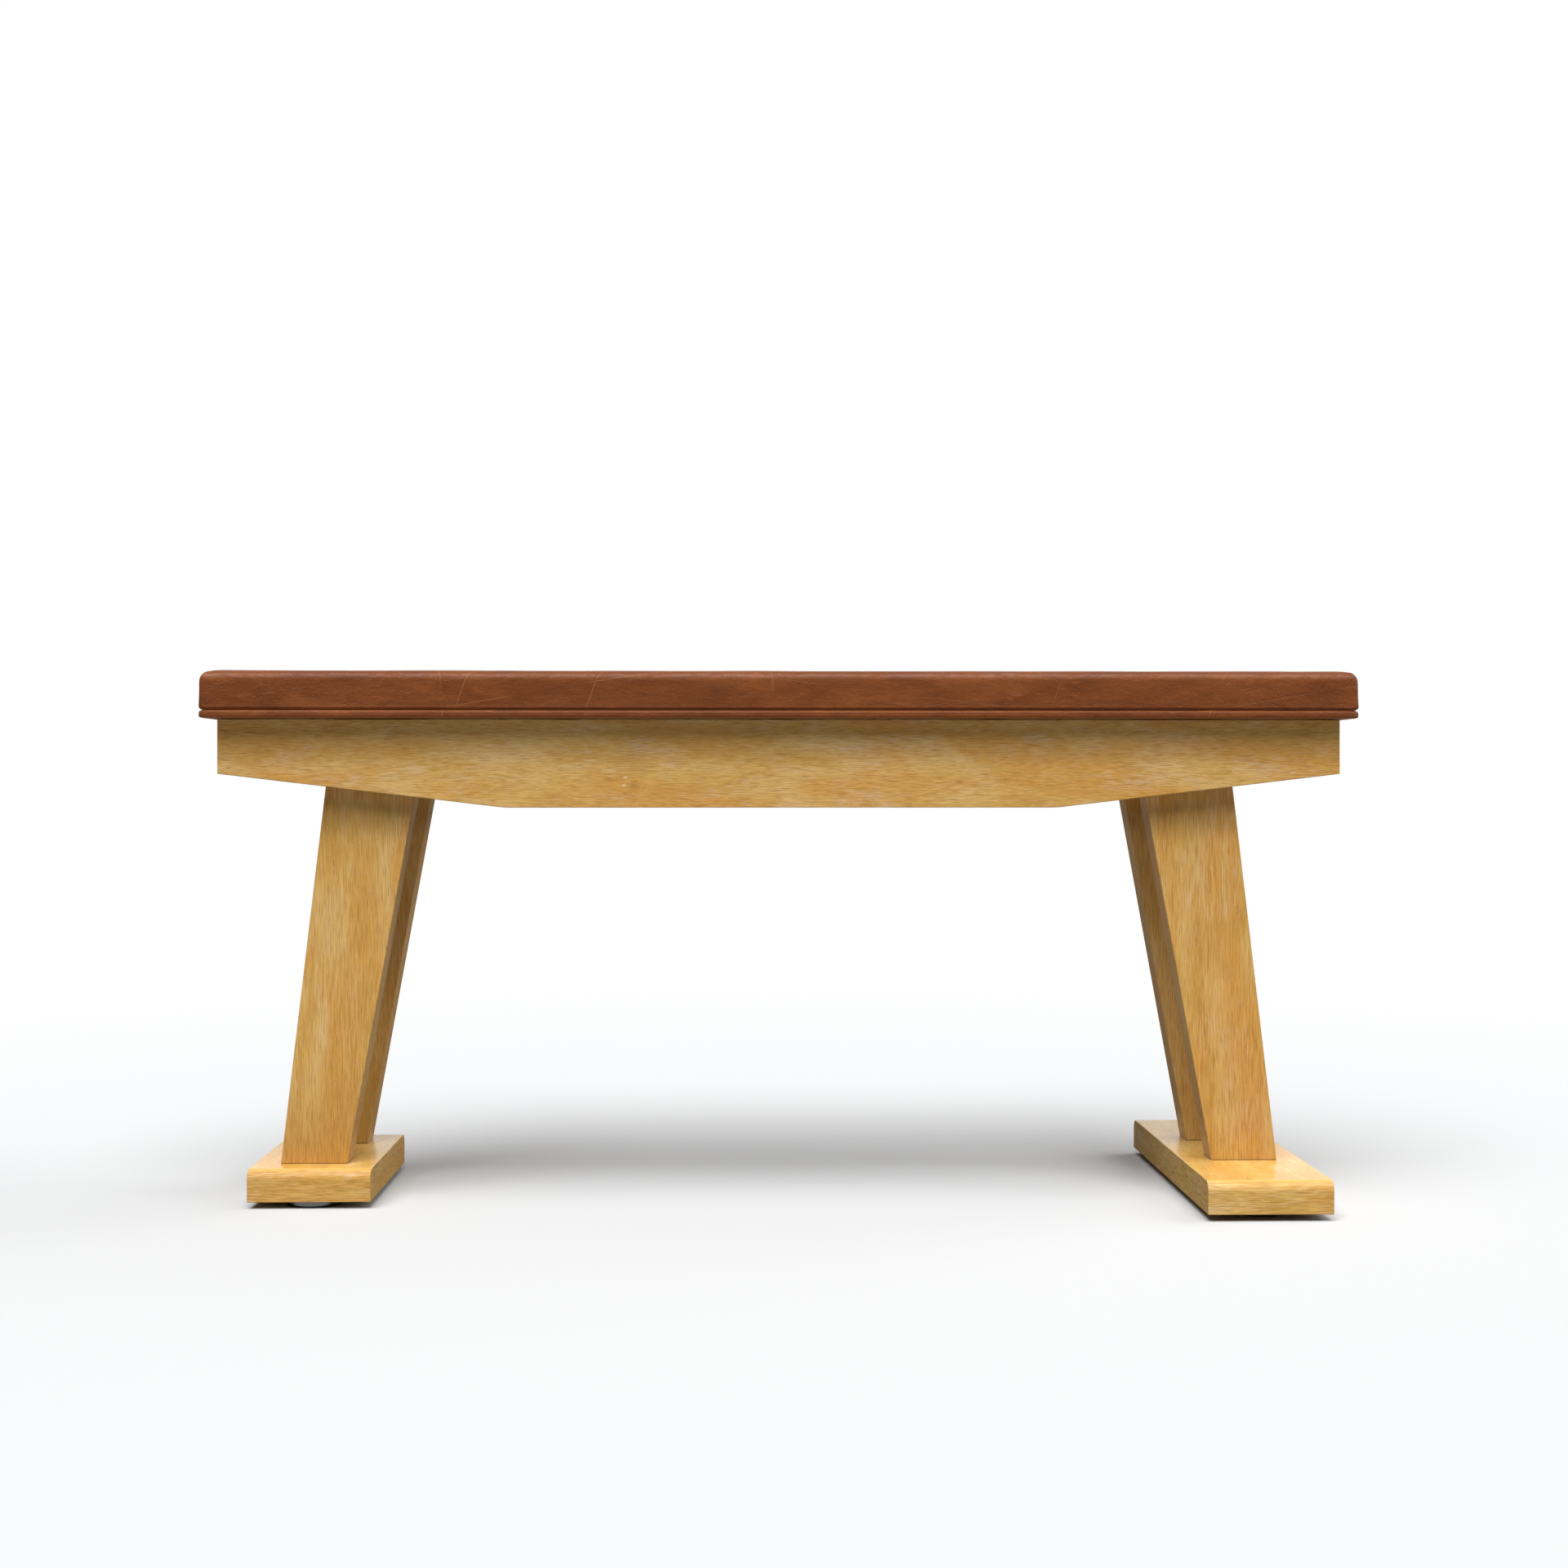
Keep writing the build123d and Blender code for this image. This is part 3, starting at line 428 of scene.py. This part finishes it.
def leather(name, low_edge, top_edge=None):
    """Cognac pull-up leather: mottled, finely grained and creased, with painted shade and a painted
    highlight on the top edge, painted shade in the tuck and painted light underneath.
    """
    look = Look(name)
    place = look.place()
    slanted = look.mapped(place, (0.7, 1.0, 2.2), rotation=(0.0, 0.62, 0.2))
    cloud = look.noise(slanted, 9.0, detail=4.0, rough=0.60, distort=0.5)
    mottle = look.noise(slanted, 36.0, detail=4.0, rough=0.58, distort=0.8)
    speck = look.noise(place, 300.0, detail=2.0)
    colour = look.ramp(cloud, [(0.26, LEATHER_DEEP), (0.48, LEATHER_MAIN), (0.74, LEATHER_WARM)])
    shade = look.ramp(mottle, [(0.25, 0.74), (0.5, 0.98), (0.75, 1.26)])
    colour = look.mix(0.85, colour, shade, "MULTIPLY")
    colour = look.mix(0.20, colour, look.ramp(speck, [(0.3, 0.7), (0.7, 1.26)]), "MULTIPLY")

    # Pores and the fine pebbled grain of the hide.
    wobble = look.node(
        "ShaderNodeTexNoise", inputs={"Vector": place, "Scale": 150.0, "Detail": 2.0}
    ).outputs["Color"]
    wobble = look.node(
        "ShaderNodeVectorMath", {"operation": "SCALE"}, {0: wobble, "Scale": 0.0035}
    ).outputs[0]
    bent = look.node("ShaderNodeVectorMath", {"operation": "ADD"}, {0: place, 1: wobble}).outputs[0]
    pebble = look.voronoi(bent, 620.0)
    fold = look.voronoi(bent, 190.0, "DISTANCE_TO_EDGE")
    furrow = look.rise(fold, 0.12, 0.0)
    colour = look.mix(look.math("MULTIPLY", furrow, 0.22), colour, LEATHER_DEEP)
    scratches = scratch_lines(look, place)
    colour = look.mix(look.math("MULTIPLY", scratches, 0.27), colour, LEATHER_WORN)

    # Slanting creases, their crests rubbed paler.
    slant = look.mapped(place, (55.0, 90.0, 210.0), rotation=(0.0, 0.42, 0.3))
    crease = look.noise(slant, 1.0, detail=3.0, rough=0.6, distort=0.8)
    patch = look.rise(look.noise(place, 6.0, detail=2.0), 0.42, 0.62)
    rubbed = look.math("MULTIPLY", look.rise(crease, 0.56, 0.72), patch)
    colour = look.mix(look.math("MULTIPLY", rubbed, 0.16), colour, LEATHER_WORN)

    # Painted light and shade: darker along the top edge with a pale painted highlight band below it,
    # painted shade in the tuck, and paler faces that look down.
    height = look.axis(place, "Z")
    breakup = look.math("MULTIPLY", look.math("SUBTRACT", mottle, 0.5), 0.006)
    height = look.math("ADD", height, breakup)
    if top_edge is not None:
        # painted shade: the top of the rounded edge coloured darker
        above = look.rise(height, top_edge - 0.008, top_edge - 0.002)
        colour = look.mix(above, colour, (0.84, 0.78, 0.70), "MULTIPLY")
        # painted highlight: a pale band on the rounded edge, just below the top
        crest_up = look.rise(height, top_edge - 0.0105, top_edge - 0.0075)
        crest_down = look.rise(height, top_edge - 0.0035, top_edge - 0.0060)
        edge = look.math("MULTIPLY", crest_up, crest_down)
        edge = look.math("MULTIPLY", edge, look.rise(crease, 0.35, 0.60))
        colour = look.mix(look.math("MULTIPLY", edge, 0.16), colour, LEATHER_PAINTED_SHEEN)
    # painted shade: darker towards the tuck at the lower edge
    tuck = look.rise(height, low_edge + (0.010 if top_edge is None else 0.019), low_edge)
    colour = look.mix(look.math("MULTIPLY", tuck, 0.15), colour, LEATHER_PAINTED_TUCK_SHADE)
    # painted light: faces that look down coloured paler
    under = look.rise(look.facing("Z"), -0.55, -0.90)
    colour = look.mix(look.math("MULTIPLY", under, 0.6), colour, LEATHER_PAINTED_UNDER_LIGHT)

    relief = look.math("ADD", look.math("MULTIPLY", pebble, -0.35), look.math("MULTIPLY", furrow, -0.5))
    normal = look.bump(relief, 0.00018, 0.6)
    normal = look.bump(crease, 0.0011, 0.5, normal)
    wrinkle = look.noise(place, 150.0, detail=3.0, rough=0.6, distort=1.0)
    ends = look.rise(look.math("ABSOLUTE", look.axis(place, "X")), 0.25, 0.75)
    strength = look.math("ADD", look.math("MULTIPLY", ends, 0.55), 0.35)
    normal = look.bump(wrinkle, 0.0011, strength, normal)
    normal = look.bump(scratches, -0.0002, 0.5, normal)
    rough = look.math("ADD", look.math("MULTIPLY", mottle, 0.22), 0.40)
    rough = look.math("ADD", rough, look.math("MULTIPLY", furrow, 0.12))
    return look.surface(
        Base_Color=colour,
        Roughness=rough,
        Normal=normal,
        Specular_IOR_Level=0.20,
    )


# ---------------------------------------------------------------- metal, rubber, foam, beech

TURNING_PITCH = 0.0005


def metal(name, colour, rough, centre=None):
    """Plated metal; with a centre it shows fine turning rings about that upright axis."""
    look = Look(name)
    place = look.place()
    blot = look.noise(place, 180.0, detail=3.0)
    tint = look.ramp(blot, [(0.3, tuple(c * 0.86 for c in colour)), (0.7, colour)])
    roughness = look.math("ADD", look.math("MULTIPLY", blot, 0.14), rough - 0.07)
    height = look.noise(place, 900.0, detail=2.0)
    if centre is not None:
        local = look.mapped(place, (1, 1, 0), location=(-centre[0], -centre[1], 0))
        height = look.math("SINE", look.math("MULTIPLY", look.length(local), math.tau / TURNING_PITCH))
    return look.surface(
        Base_Color=tint,
        Metallic=1.0,
        Roughness=roughness,
        Normal=look.bump(height, 0.00002, 0.35),
    )


def rubber(name):
    """Black anti-slip rubber with a faint bloom."""
    look = Look(name)
    place = look.place()
    bloom = look.noise(place, 60.0, detail=4.0)
    colour = look.ramp(bloom, [(0.3, (0.018, 0.018, 0.02)), (0.75, (0.045, 0.044, 0.043))])
    pimple = look.voronoi(place, 500.0)
    return look.surface(Base_Color=colour, Roughness=0.82, Normal=look.bump(pimple, 0.0002, 0.5))


def foam(name):
    """Open-cell upholstery foam."""
    look = Look(name)
    place = look.place()
    cells = look.voronoi(place, 900.0)
    colour = look.ramp(cells, [(0.1, (0.42, 0.36, 0.2)), (0.6, (0.78, 0.72, 0.5))])
    return look.surface(Base_Color=colour, Roughness=0.95, Normal=look.bump(cells, 0.0004, 0.6))


def beech(name):
    """Bare beech with short flecks."""
    look = Look(name)
    place = look.place()
    fleck = look.noise(look.mapped(place, (300.0, 300.0, 60.0)), detail=3.0)
    colour = look.ramp(fleck, [(0.3, (0.5, 0.31, 0.17)), (0.7, (0.66, 0.45, 0.27))])
    return look.surface(Base_Color=colour, Roughness=0.65, Normal=look.bump(fleck, 0.0001, 0.4))


def dress(node, material):
    """Puts one material on every slot of a CAD node."""
    mesh_object = NODES[node]
    mesh_object.data.materials.clear()
    mesh_object.data.materials.append(material)
    return mesh_object


def dress_hardware():
    zinc = metal("zinc_plate", (0.60, 0.61, 0.60), 0.36)
    brass = metal("insert_brass", (0.66, 0.47, 0.2), 0.38)
    for name in NODES:
        if name.endswith(("_screws", "_bolts", "_washers", "_staples", "_tee_nuts")):
            dress(name, zinc)
        elif name.endswith("_inserts"):
            dress(name, brass)
        elif name.endswith("_dowels"):
            dress(name, beech(f"beech_{name}"))
        elif name.startswith("glide_stud"):
            dress(name, zinc)
        elif name.startswith("glide_disc"):
            low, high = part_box(name)
            dress(name, metal(f"bright_{name}", (0.80, 0.80, 0.81), 0.2, (low + high) / 2))
        elif name.startswith("glide_sole"):
            dress(name, rubber(f"rubber_{name}"))
        elif name in ("pad_board", "base_board"):
            dress(name, plywood(f"plywood_{name}"))


# ---------------------------------------------------------------- upholstery


class Slab:
    """A leather-covered slab: plan corner radius, rounds above and below, and its grid of points."""

    def __init__(self, low, high, corner, top_round, low_round, cell):
        self.low, self.high = np.array(low), np.array(high)
        self.corner, self.top_round, self.low_round, self.cell = corner, top_round, low_round, cell

    def lines(self, low, high, low_round, high_round):
        """Grid lines across one side: close together in the rounds, and even between them."""
        steps = np.linspace(0.0, 1.0, 5)[:-1]
        middle = np.linspace(
            low + low_round,
            high - high_round,
            max(2, round((high - low - low_round - high_round) / self.cell) + 1),
        )
        return np.concatenate([low + low_round * steps, middle, high - high_round * steps[::-1]])

    def inset(self, points):
        """Distance of plan points inside the rounded rectangle, and the outward plan normal."""
        centre = (self.low + self.high)[:2] / 2
        half = (self.high - self.low)[:2] / 2
        plan = points[:, :2] - centre
        reach = np.abs(plan) - (half - self.corner)
        outside = np.maximum(reach, 0.0)
        length = np.linalg.norm(outside, axis=1)
        distance = self.corner - length - np.minimum(reach.max(axis=1), 0.0)
        flat = reach.argmax(axis=1)
        normal = np.zeros_like(plan)
        normal[np.arange(len(plan)), flat] = 1.0
        rounded = length > 1e-9
        normal[rounded] = outside[rounded] / length[rounded, None]
        return distance, normal * np.sign(plan)

    def round_corners(self, points):
        """Moves points near the plan's square corners so that the outline becomes round."""
        centre = (self.low + self.high)[:2] / 2
        half = (self.high - self.low)[:2] / 2
        plan = points[:, :2] - centre
        reach = np.abs(plan) - (half - self.corner)
        inside = (reach > 0).all(axis=1)
        near = reach[inside]
        near *= (near.max(axis=1) / np.linalg.norm(near, axis=1))[:, None]
        plan[inside] = (near + half - self.corner) * np.sign(plan[inside])
        points[:, :2] = plan + centre

    def round_edge(self, points, level, inward, radius):
        """Rounds the upper or lower edge: level is its height, and inward is -1 above and 1 below."""
        distance, normal = self.inset(points)
        depth = (points[:, 2] - level) * inward
        near = (distance < radius) & (depth < radius)
        across, down = radius - distance[near], radius - depth[near]
        pull = np.maximum(across, down) / np.maximum(np.hypot(across, down), 1e-9)
        points[near, 2] = level + inward * (radius - down * pull)
        shift = across * (1 - pull)
        points[near, :2] -= normal[near] * shift[:, None]

    def mesh(self, name):
        """The closed skin of the slab, as quads."""
        xs = self.lines(self.low[0], self.high[0], self.corner, self.corner)
        ys = self.lines(self.low[1], self.high[1], self.corner, self.corner)
        zs = self.lines(self.low[2], self.high[2], self.low_round, self.top_round)
        index, points, faces = {}, [], []

        def corner(i, j, k):
            key = (i, j, k)
            if key not in index:
                index[key] = len(points)
                points.append((xs[i], ys[j], zs[k]))
            return index[key]

        def quad(first, second, third, fourth, outward):
            ring = [corner(*first), corner(*second), corner(*third), corner(*fourth)]
            faces.append(ring if outward else ring[::-1])

        last = (len(xs) - 1, len(ys) - 1, len(zs) - 1)
        for i in range(last[0]):
            for j in range(last[1]):
                for k, up in ((0, False), (last[2], True)):
                    quad((i, j, k), (i + 1, j, k), (i + 1, j + 1, k), (i, j + 1, k), up)
        for i in range(last[0]):
            for k in range(last[2]):
                for j, front in ((0, True), (last[1], False)):
                    quad((i, j, k), (i + 1, j, k), (i + 1, j, k + 1), (i, j, k + 1), front)
        for j in range(last[1]):
            for k in range(last[2]):
                for i, right in ((0, False), (last[0], True)):
                    quad((i, j, k), (i, j + 1, k), (i, j + 1, k + 1), (i, j, k + 1), right)

        points = np.array(points)
        self.round_corners(points)
        self.round_edge(points, self.high[2], -1, self.top_round)
        self.round_edge(points, self.low[2], 1, self.low_round)
        mesh = bpy.data.meshes.new(name)
        mesh.from_pydata(points.tolist(), [], faces)
        mesh.update()
        return mesh


def new_object(name, mesh, material):
    made = bpy.data.objects.new(name, mesh)
    bpy.context.scene.collection.objects.link(made)
    mesh.materials.append(material)
    mesh.shade_smooth()
    return made


def points_of(mesh):
    flat = np.empty(len(mesh.vertices) * 3)
    mesh.vertices.foreach_get("co", flat)
    return flat.reshape(-1, 3)


def set_points(mesh, points):
    mesh.vertices.foreach_set("co", np.ascontiguousarray(points).ravel())
    mesh.update()


def apply_modifiers(thing):
    """Replaces the object's mesh by its evaluated shape and drops the modifiers."""
    graph = bpy.context.evaluated_depsgraph_get()
    shaped = bpy.data.meshes.new_from_object(thing.evaluated_get(graph), depsgraph=graph)
    thing.modifiers.clear()
    thing.data = shaped


def inflate(thing, pinned, pressure, cap, frames=20):
    """Blows the closed skin up as cloth; no point moves further than cap."""
    start = points_of(thing.data)
    group = thing.vertex_groups.new(name="held")
    group.add([int(i) for i in np.flatnonzero(pinned)], 1.0, "REPLACE")
    cloth = thing.modifiers.new("Cloth", "CLOTH")
    cloth.settings.quality = 6
    cloth.settings.mass = 0.6
    cloth.settings.tension_stiffness = 40
    cloth.settings.compression_stiffness = 40
    cloth.settings.shear_stiffness = 15
    cloth.settings.bending_stiffness = 6
    cloth.settings.use_pressure = True
    cloth.settings.uniform_pressure_force = pressure
    cloth.settings.vertex_group_mass = group.name
    cloth.settings.effector_weights.gravity = 0
    cloth.collision_settings.use_collision = False
    cloth.collision_settings.use_self_collision = False
    cloth.point_cache.frame_start = 1
    cloth.point_cache.frame_end = frames
    for number in range(1, frames + 1):
        bpy.context.scene.frame_set(number)
    apply_modifiers(thing)
    bpy.context.scene.frame_set(1)
    thing.vertex_groups.clear()
    moved = points_of(thing.data) - start
    length = np.linalg.norm(moved, axis=1)
    limit = cap * np.tanh(length / cap)
    moved *= (limit / np.maximum(length, 1e-9))[:, None]
    return start + moved


PAD_TOP_ROUND = 0.0125
PAD_LOW_ROUND = 0.0070
PAD_CORNER = 0.010
LIP_CORNER = 0.019
PAD_CELL = 0.008  # width of a quad of each skin, between its rounds
LIP_CELL = 0.009
FOAM_CELL = 0.020
SWELL_ROOM = 0.0012  # the skin starts this much inside the CAD box and swells out to it
CROWN = 0.0022  # how much higher the skin is over the middle
CROWN_REACH = 0.045  # how far in from the edge the crown has mostly risen
TOP_SETTLE = 0.0012  # the stuffing has settled this much along the edges
END_DROOP = 0.0026  # further fall of the top at the two ends
END_FADE = 0.0095
PAD_PRESSURE = 4.0
LEATHER_THICKNESS = 0.0016
LIP_THICKNESS = 0.0013
TURN_UNDER = 0.060  # leather left on the pad's underside, from the edge inwards
FOAM_SLACK = 0.003  # room between the foam and the leather
LIP_BAND_ABOVE = 0.030  # leather turned over onto the base board's top, and under it
LIP_BAND_BELOW = 0.040


def crown_of(points, slab):
    """0 at the pad's edge, rising to 1 over its middle."""
    distance, _ = slab.inset(points)
    return 1.0 - np.exp(-np.maximum(distance, 0.0) / CROWN_REACH)


def hide_waves(points, slab):
    """Small unevenness of stuffed leather: slow waves on top, short puckers above the tuck."""
    distance, normal = slab.inset(points)
    out = np.zeros_like(points)
    for row, (x, y, z) in enumerate(points):
        slow = noise.noise((x * 7.0, y * 9.0, z * 9.0))
        slow += 0.5 * noise.noise((x * 21.0, y * 21.0, z * 21.0))
        out[row, 2] += 0.0005 * slow if distance[row] > 0.012 else 0.0
        if distance[row] < 0.02:
            near_tuck = math.exp(-max(z - slab.low[2] - 0.004, 0.0) / 0.010)
            pucker = noise.noise((x * 75.0, y * 75.0, 4.0)) * 0.0007 * near_tuck
            side = 0.00055 * noise.noise((x * 16.0 + 9.0, y * 16.0, z * 30.0))
            out[row, :2] += normal[row] * (pucker + side)
    return out


def pad_leather():
    """The stuffed pad: a crowned skin blown up as cloth, its top falling a little to the ends."""
    low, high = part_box("pad_cover")
    inset = Vector((SWELL_ROOM, SWELL_ROOM, 0.0))
    settled = high - inset - Vector((0.0, 0.0, TOP_SETTLE))
    slab = Slab(low + inset, settled, PAD_CORNER, PAD_TOP_ROUND, PAD_LOW_ROUND, PAD_CELL)
    skin = new_object("pad_leather", slab.mesh("pad_leather"), LEATHER_PAD)
    start = points_of(skin.data)
    held = start[:, 2] < slab.low[2] + PAD_LOW_ROUND * 0.6
    points = inflate(skin, held, PAD_PRESSURE, SWELL_ROOM)
    top = np.clip((start[:, 2] - slab.low[2]) / (slab.high[2] - slab.low[2]), 0, 1)
    points[:, 2] += CROWN * crown_of(start, slab) * np.where(top > 0.5, 1.0, 0.0)
    from_end = slab.high[0] - np.abs(start[:, 0])
    points[:, 2] -= END_DROOP * np.exp(-from_end / END_FADE) * top
    points += hide_waves(start, slab)
    points[:, 2] = np.maximum(points[:, 2], low.z)
    set_points(skin.data, points)
    open_underside(skin, low.z + 0.0005)
    thicken(skin)
    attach(skin, "bench")
    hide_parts("pad_cover")
    return skin


def open_underside(skin, level):
    """Removes the middle of the underside, which the turned-under leather leaves bare."""
    centre = points_of(skin.data).mean(axis=0)
    shape = bmesh.new()
    shape.from_mesh(skin.data)
    reach = [(skin.dimensions[i]) / 2 - TURN_UNDER for i in (0, 1)]
    bare = [
        face
        for face in shape.faces
        if face.normal.z < -0.9
        and face.calc_center_median().z < level
        and all(abs(face.calc_center_median()[i] - centre[i]) < reach[i] for i in (0, 1))
    ]
    bmesh.ops.delete(shape, geom=bare, context="FACES")
    shape.to_mesh(skin.data)
    shape.free()


def thicken(skin):
    """One subdivision, then the thickness of the hide, inwards."""
    smooth = skin.modifiers.new("Subdivision", "SUBSURF")
    smooth.levels = smooth.render_levels = 1
    hide = skin.modifiers.new("Solidify", "SOLIDIFY")
    hide.thickness = LEATHER_THICKNESS
    hide.offset = -1.0
    hide.use_rim = True
    apply_modifiers(skin)
    skin.data.shade_smooth()


LIP_RISE = 0.0010  # the pad's soft leather lets it in this far
LIP_TOP_ROUND = 0.0048
LIP_LOW_ROUND = 0.0036


def lip_leather():
    """The thin lip under the pad: leather drawn tight round the base board's edge."""
    low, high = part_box("base_cover")
    low.z += LIP_RISE
    high.z += LIP_RISE / 2
    slab = Slab(low, high, LIP_CORNER, LIP_TOP_ROUND, LIP_LOW_ROUND, LIP_CELL)
    skin = new_object("base_leather", slab.mesh("base_leather"), LEATHER_LIP)
    points = points_of(skin.data)
    distance, normal = slab.inset(points)
    for row, (x, y, z) in enumerate(points):
        if distance[row] < 0.012:
            wave = 0.0004 * noise.noise((x * 40.0, y * 40.0, z * 60.0)) - 0.0003
            points[row, :2] += normal[row] * wave
    set_points(skin.data, points)
    bare_middle(skin, slab)
    smooth = skin.modifiers.new("Subdivision", "SUBSURF")
    smooth.levels = smooth.render_levels = 1
    hide = skin.modifiers.new("Solidify", "SOLIDIFY")
    hide.thickness = LIP_THICKNESS
    hide.offset = -1.0
    apply_modifiers(skin)
    skin.data.shade_smooth()
    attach(skin, "bench")
    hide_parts("base_cover")


def bare_middle(skin, slab):
    """Leaves only the bands of leather turned over onto the base board's two faces."""
    shape = bmesh.new()
    shape.from_mesh(skin.data)
    bare = []
    for face in shape.faces:
        middle = face.calc_center_median()
        distance, _ = slab.inset(np.array([[middle.x, middle.y, middle.z]]))
        band = LIP_BAND_ABOVE if face.normal.z > 0 else LIP_BAND_BELOW
        if abs(face.normal.z) > 0.9 and distance[0] > band:
            bare.append(face)
    bmesh.ops.delete(shape, geom=bare, context="FACES")
    shape.to_mesh(skin.data)
    shape.free()


def foam_block():
    """The foam inside the pad: rounded over, slightly crowned, and hollow over the pad board."""
    low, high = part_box("pad_foam")
    slab = Slab(
        low + Vector((FOAM_SLACK, FOAM_SLACK, 0.0)),
        high - Vector((FOAM_SLACK, FOAM_SLACK, FOAM_SLACK)),
        PAD_CORNER,
        PAD_TOP_ROUND - 0.002,
        PAD_LOW_ROUND - 0.003,
        FOAM_CELL,
    )
    block = new_object("foam_block", slab.mesh("foam_block"), foam("foam_cells"))
    points = points_of(block.data)
    board_low, board_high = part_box("pad_board")
    upper = points[:, 2] > board_high.z
    lift = (CROWN - 0.0006) * crown_of(points, slab)
    underneath = points[:, 2] < low.z + 0.0001
    over_board = (np.abs(points[:, 0]) < board_high.x) & (np.abs(points[:, 1]) < board_high.y)
    points[upper, 2] += lift[upper]
    points[underneath & over_board, 2] = board_high.z
    set_points(block.data, points)
    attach(block, "bench")
    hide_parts("pad_foam")


# ---------------------------------------------------------------- studio

FLOOR_SEEN = (0.560, 0.566, 0.572)  # the floor's colour as the camera sees it
FLOOR_BOUNCE = 0.33  # its grey level as it lights the horse
FLOOR_MIRRORED = 0.10  # and as it is mirrored in varnish and metal
FLOOR_REACH = 60.0
FLOOR_FADE = (1.2, 3.4)  # metres from the middle of the horse over which the floor turns white
SKY_LEVEL = 0.09
MIRRORED_FRONT = 0.10  # brightness of the mirrored surroundings, in front and behind
MIRRORED_BACK = 1.0
KEY = {"power": 4.65, "spread": 54.0, "height": 61.5, "turn": -12.0}
SIDE = {"power": 1.75, "spread": 60.0, "height": 34.0, "turn": 100.0}


def studio_floor():
    """A pale floor that fades into the white backdrop, and throws little light back."""
    mesh = bpy.data.meshes.new("studio_floor")
    corners = [(x * FLOOR_REACH, y * FLOOR_REACH, 0) for x, y in ((-1, -1), (1, -1), (1, 1), (-1, 1))]
    mesh.from_pydata(corners, [], [(0, 1, 2, 3)])
    floor = bpy.data.objects.new("studio_floor", mesh)
    bpy.context.scene.collection.objects.link(floor)
    look = Look("studio_floor")
    path = look.node("ShaderNodeLightPath").outputs
    seen = path["Is Camera Ray"]
    colour = look.mix(path["Is Glossy Ray"], (FLOOR_BOUNCE,) * 3, (FLOOR_MIRRORED,) * 3)
    colour = look.mix(seen, colour, FLOOR_SEEN)
    plain = look.node("ShaderNodeBsdfDiffuse", inputs={"Color": colour})
    white = look.node("ShaderNodeEmission", inputs={"Color": (1, 1, 1, 1), "Strength": 1.0})
    fade = look.math("MULTIPLY", look.rise(look.length(look.place()), *FLOOR_FADE), seen)
    both = look.node("ShaderNodeMixShader", inputs={0: fade, 1: plain.outputs[0], 2: white.outputs[0]})
    look.tree.links.new(both.outputs[0], look.output.inputs["Surface"])
    mesh.materials.append(look.owner)
    for name, node in NODES.items():
        if name.startswith("glide_sole"):  # the floor stays under the glide that is screwed out furthest
            below = floor.constraints.new("FLOOR")
            below.target = node.parent
            below.floor_location = "FLOOR_NEGATIVE_Z"


def soft_sun(name, light):
    """A very broad, far light: its height and its turn to the right of the camera are in degrees."""
    sun = bpy.data.lights.new(name, "SUN")
    sun.energy = light["power"]
    sun.angle = math.radians(light["spread"])
    lamp = bpy.data.objects.new(name, sun)
    lamp.rotation_euler = (math.radians(90 - light["height"]), 0, math.radians(light["turn"]))
    bpy.context.scene.collection.objects.link(lamp)


def studio_light():
    """A white backdrop, a dim sky, a broad key overhead in front and a low light from the right."""
    sky = Look("studio_sky", "worlds")
    bpy.context.scene.world = sky.owner
    path = sky.node("ShaderNodeLightPath").outputs
    towards = sky.node("ShaderNodeTexCoord").outputs["Generated"]
    above = sky.rise(sky.axis(towards, "Z"), 0.0, 0.12)
    behind = sky.rise(sky.axis(towards, "Y"), -0.1, 0.8)
    mirrored = sky.math("MULTIPLY", sky.math("MULTIPLY", above, behind), MIRRORED_BACK - MIRRORED_FRONT)
    mirrored = sky.math("ADD", mirrored, MIRRORED_FRONT)
    level = sky.node("ShaderNodeMix", inputs={0: path["Is Glossy Ray"], 2: SKY_LEVEL, 3: mirrored})
    level = sky.node("ShaderNodeMix", inputs={0: path["Is Camera Ray"], 2: level.outputs[0], 3: 1.0})
    values = {"Color": (1, 1, 1, 1), "Strength": level.outputs[0]}
    background = sky.node("ShaderNodeBackground", inputs=values)
    sky.tree.links.new(background.outputs[0], sky.output.inputs["Surface"])
    soft_sun("soft_key", KEY)
    soft_sun("soft_side", SIDE)


CAMERA_PLACE = (-0.0657, -3.155, 0.5832)
CAMERA_TURN = 1.307  # degrees to the right


def camera():
    lens = bpy.data.cameras.new("camera")
    lens.lens = 50.0
    lens.sensor_width = 36.0
    lens.clip_end = 200.0
    made = bpy.data.objects.new("camera", lens)
    made.location = CAMERA_PLACE
    made.rotation_euler = (QUARTER, 0, math.radians(-CAMERA_TURN))
    bpy.context.scene.collection.objects.link(made)
    bpy.context.scene.camera = made


# ---------------------------------------------------------------- the whole scene

bpy.context.scene.view_settings.view_transform = "Standard"
LEATHER_PAD = leather("pad_leather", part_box("pad_cover")[0].z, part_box("pad_cover")[1].z)
LEATHER_LIP = leather("base_leather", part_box("base_cover")[0].z - 0.006)
dress_wood()
dress_hardware()
for node_name in ("pad_cover", "base_cover"):
    dress(node_name, LEATHER_PAD)
dress("pad_foam", foam("foam_cad"))
pad_leather()
lip_leather()
foam_block()
studio_floor()
studio_light()
camera()
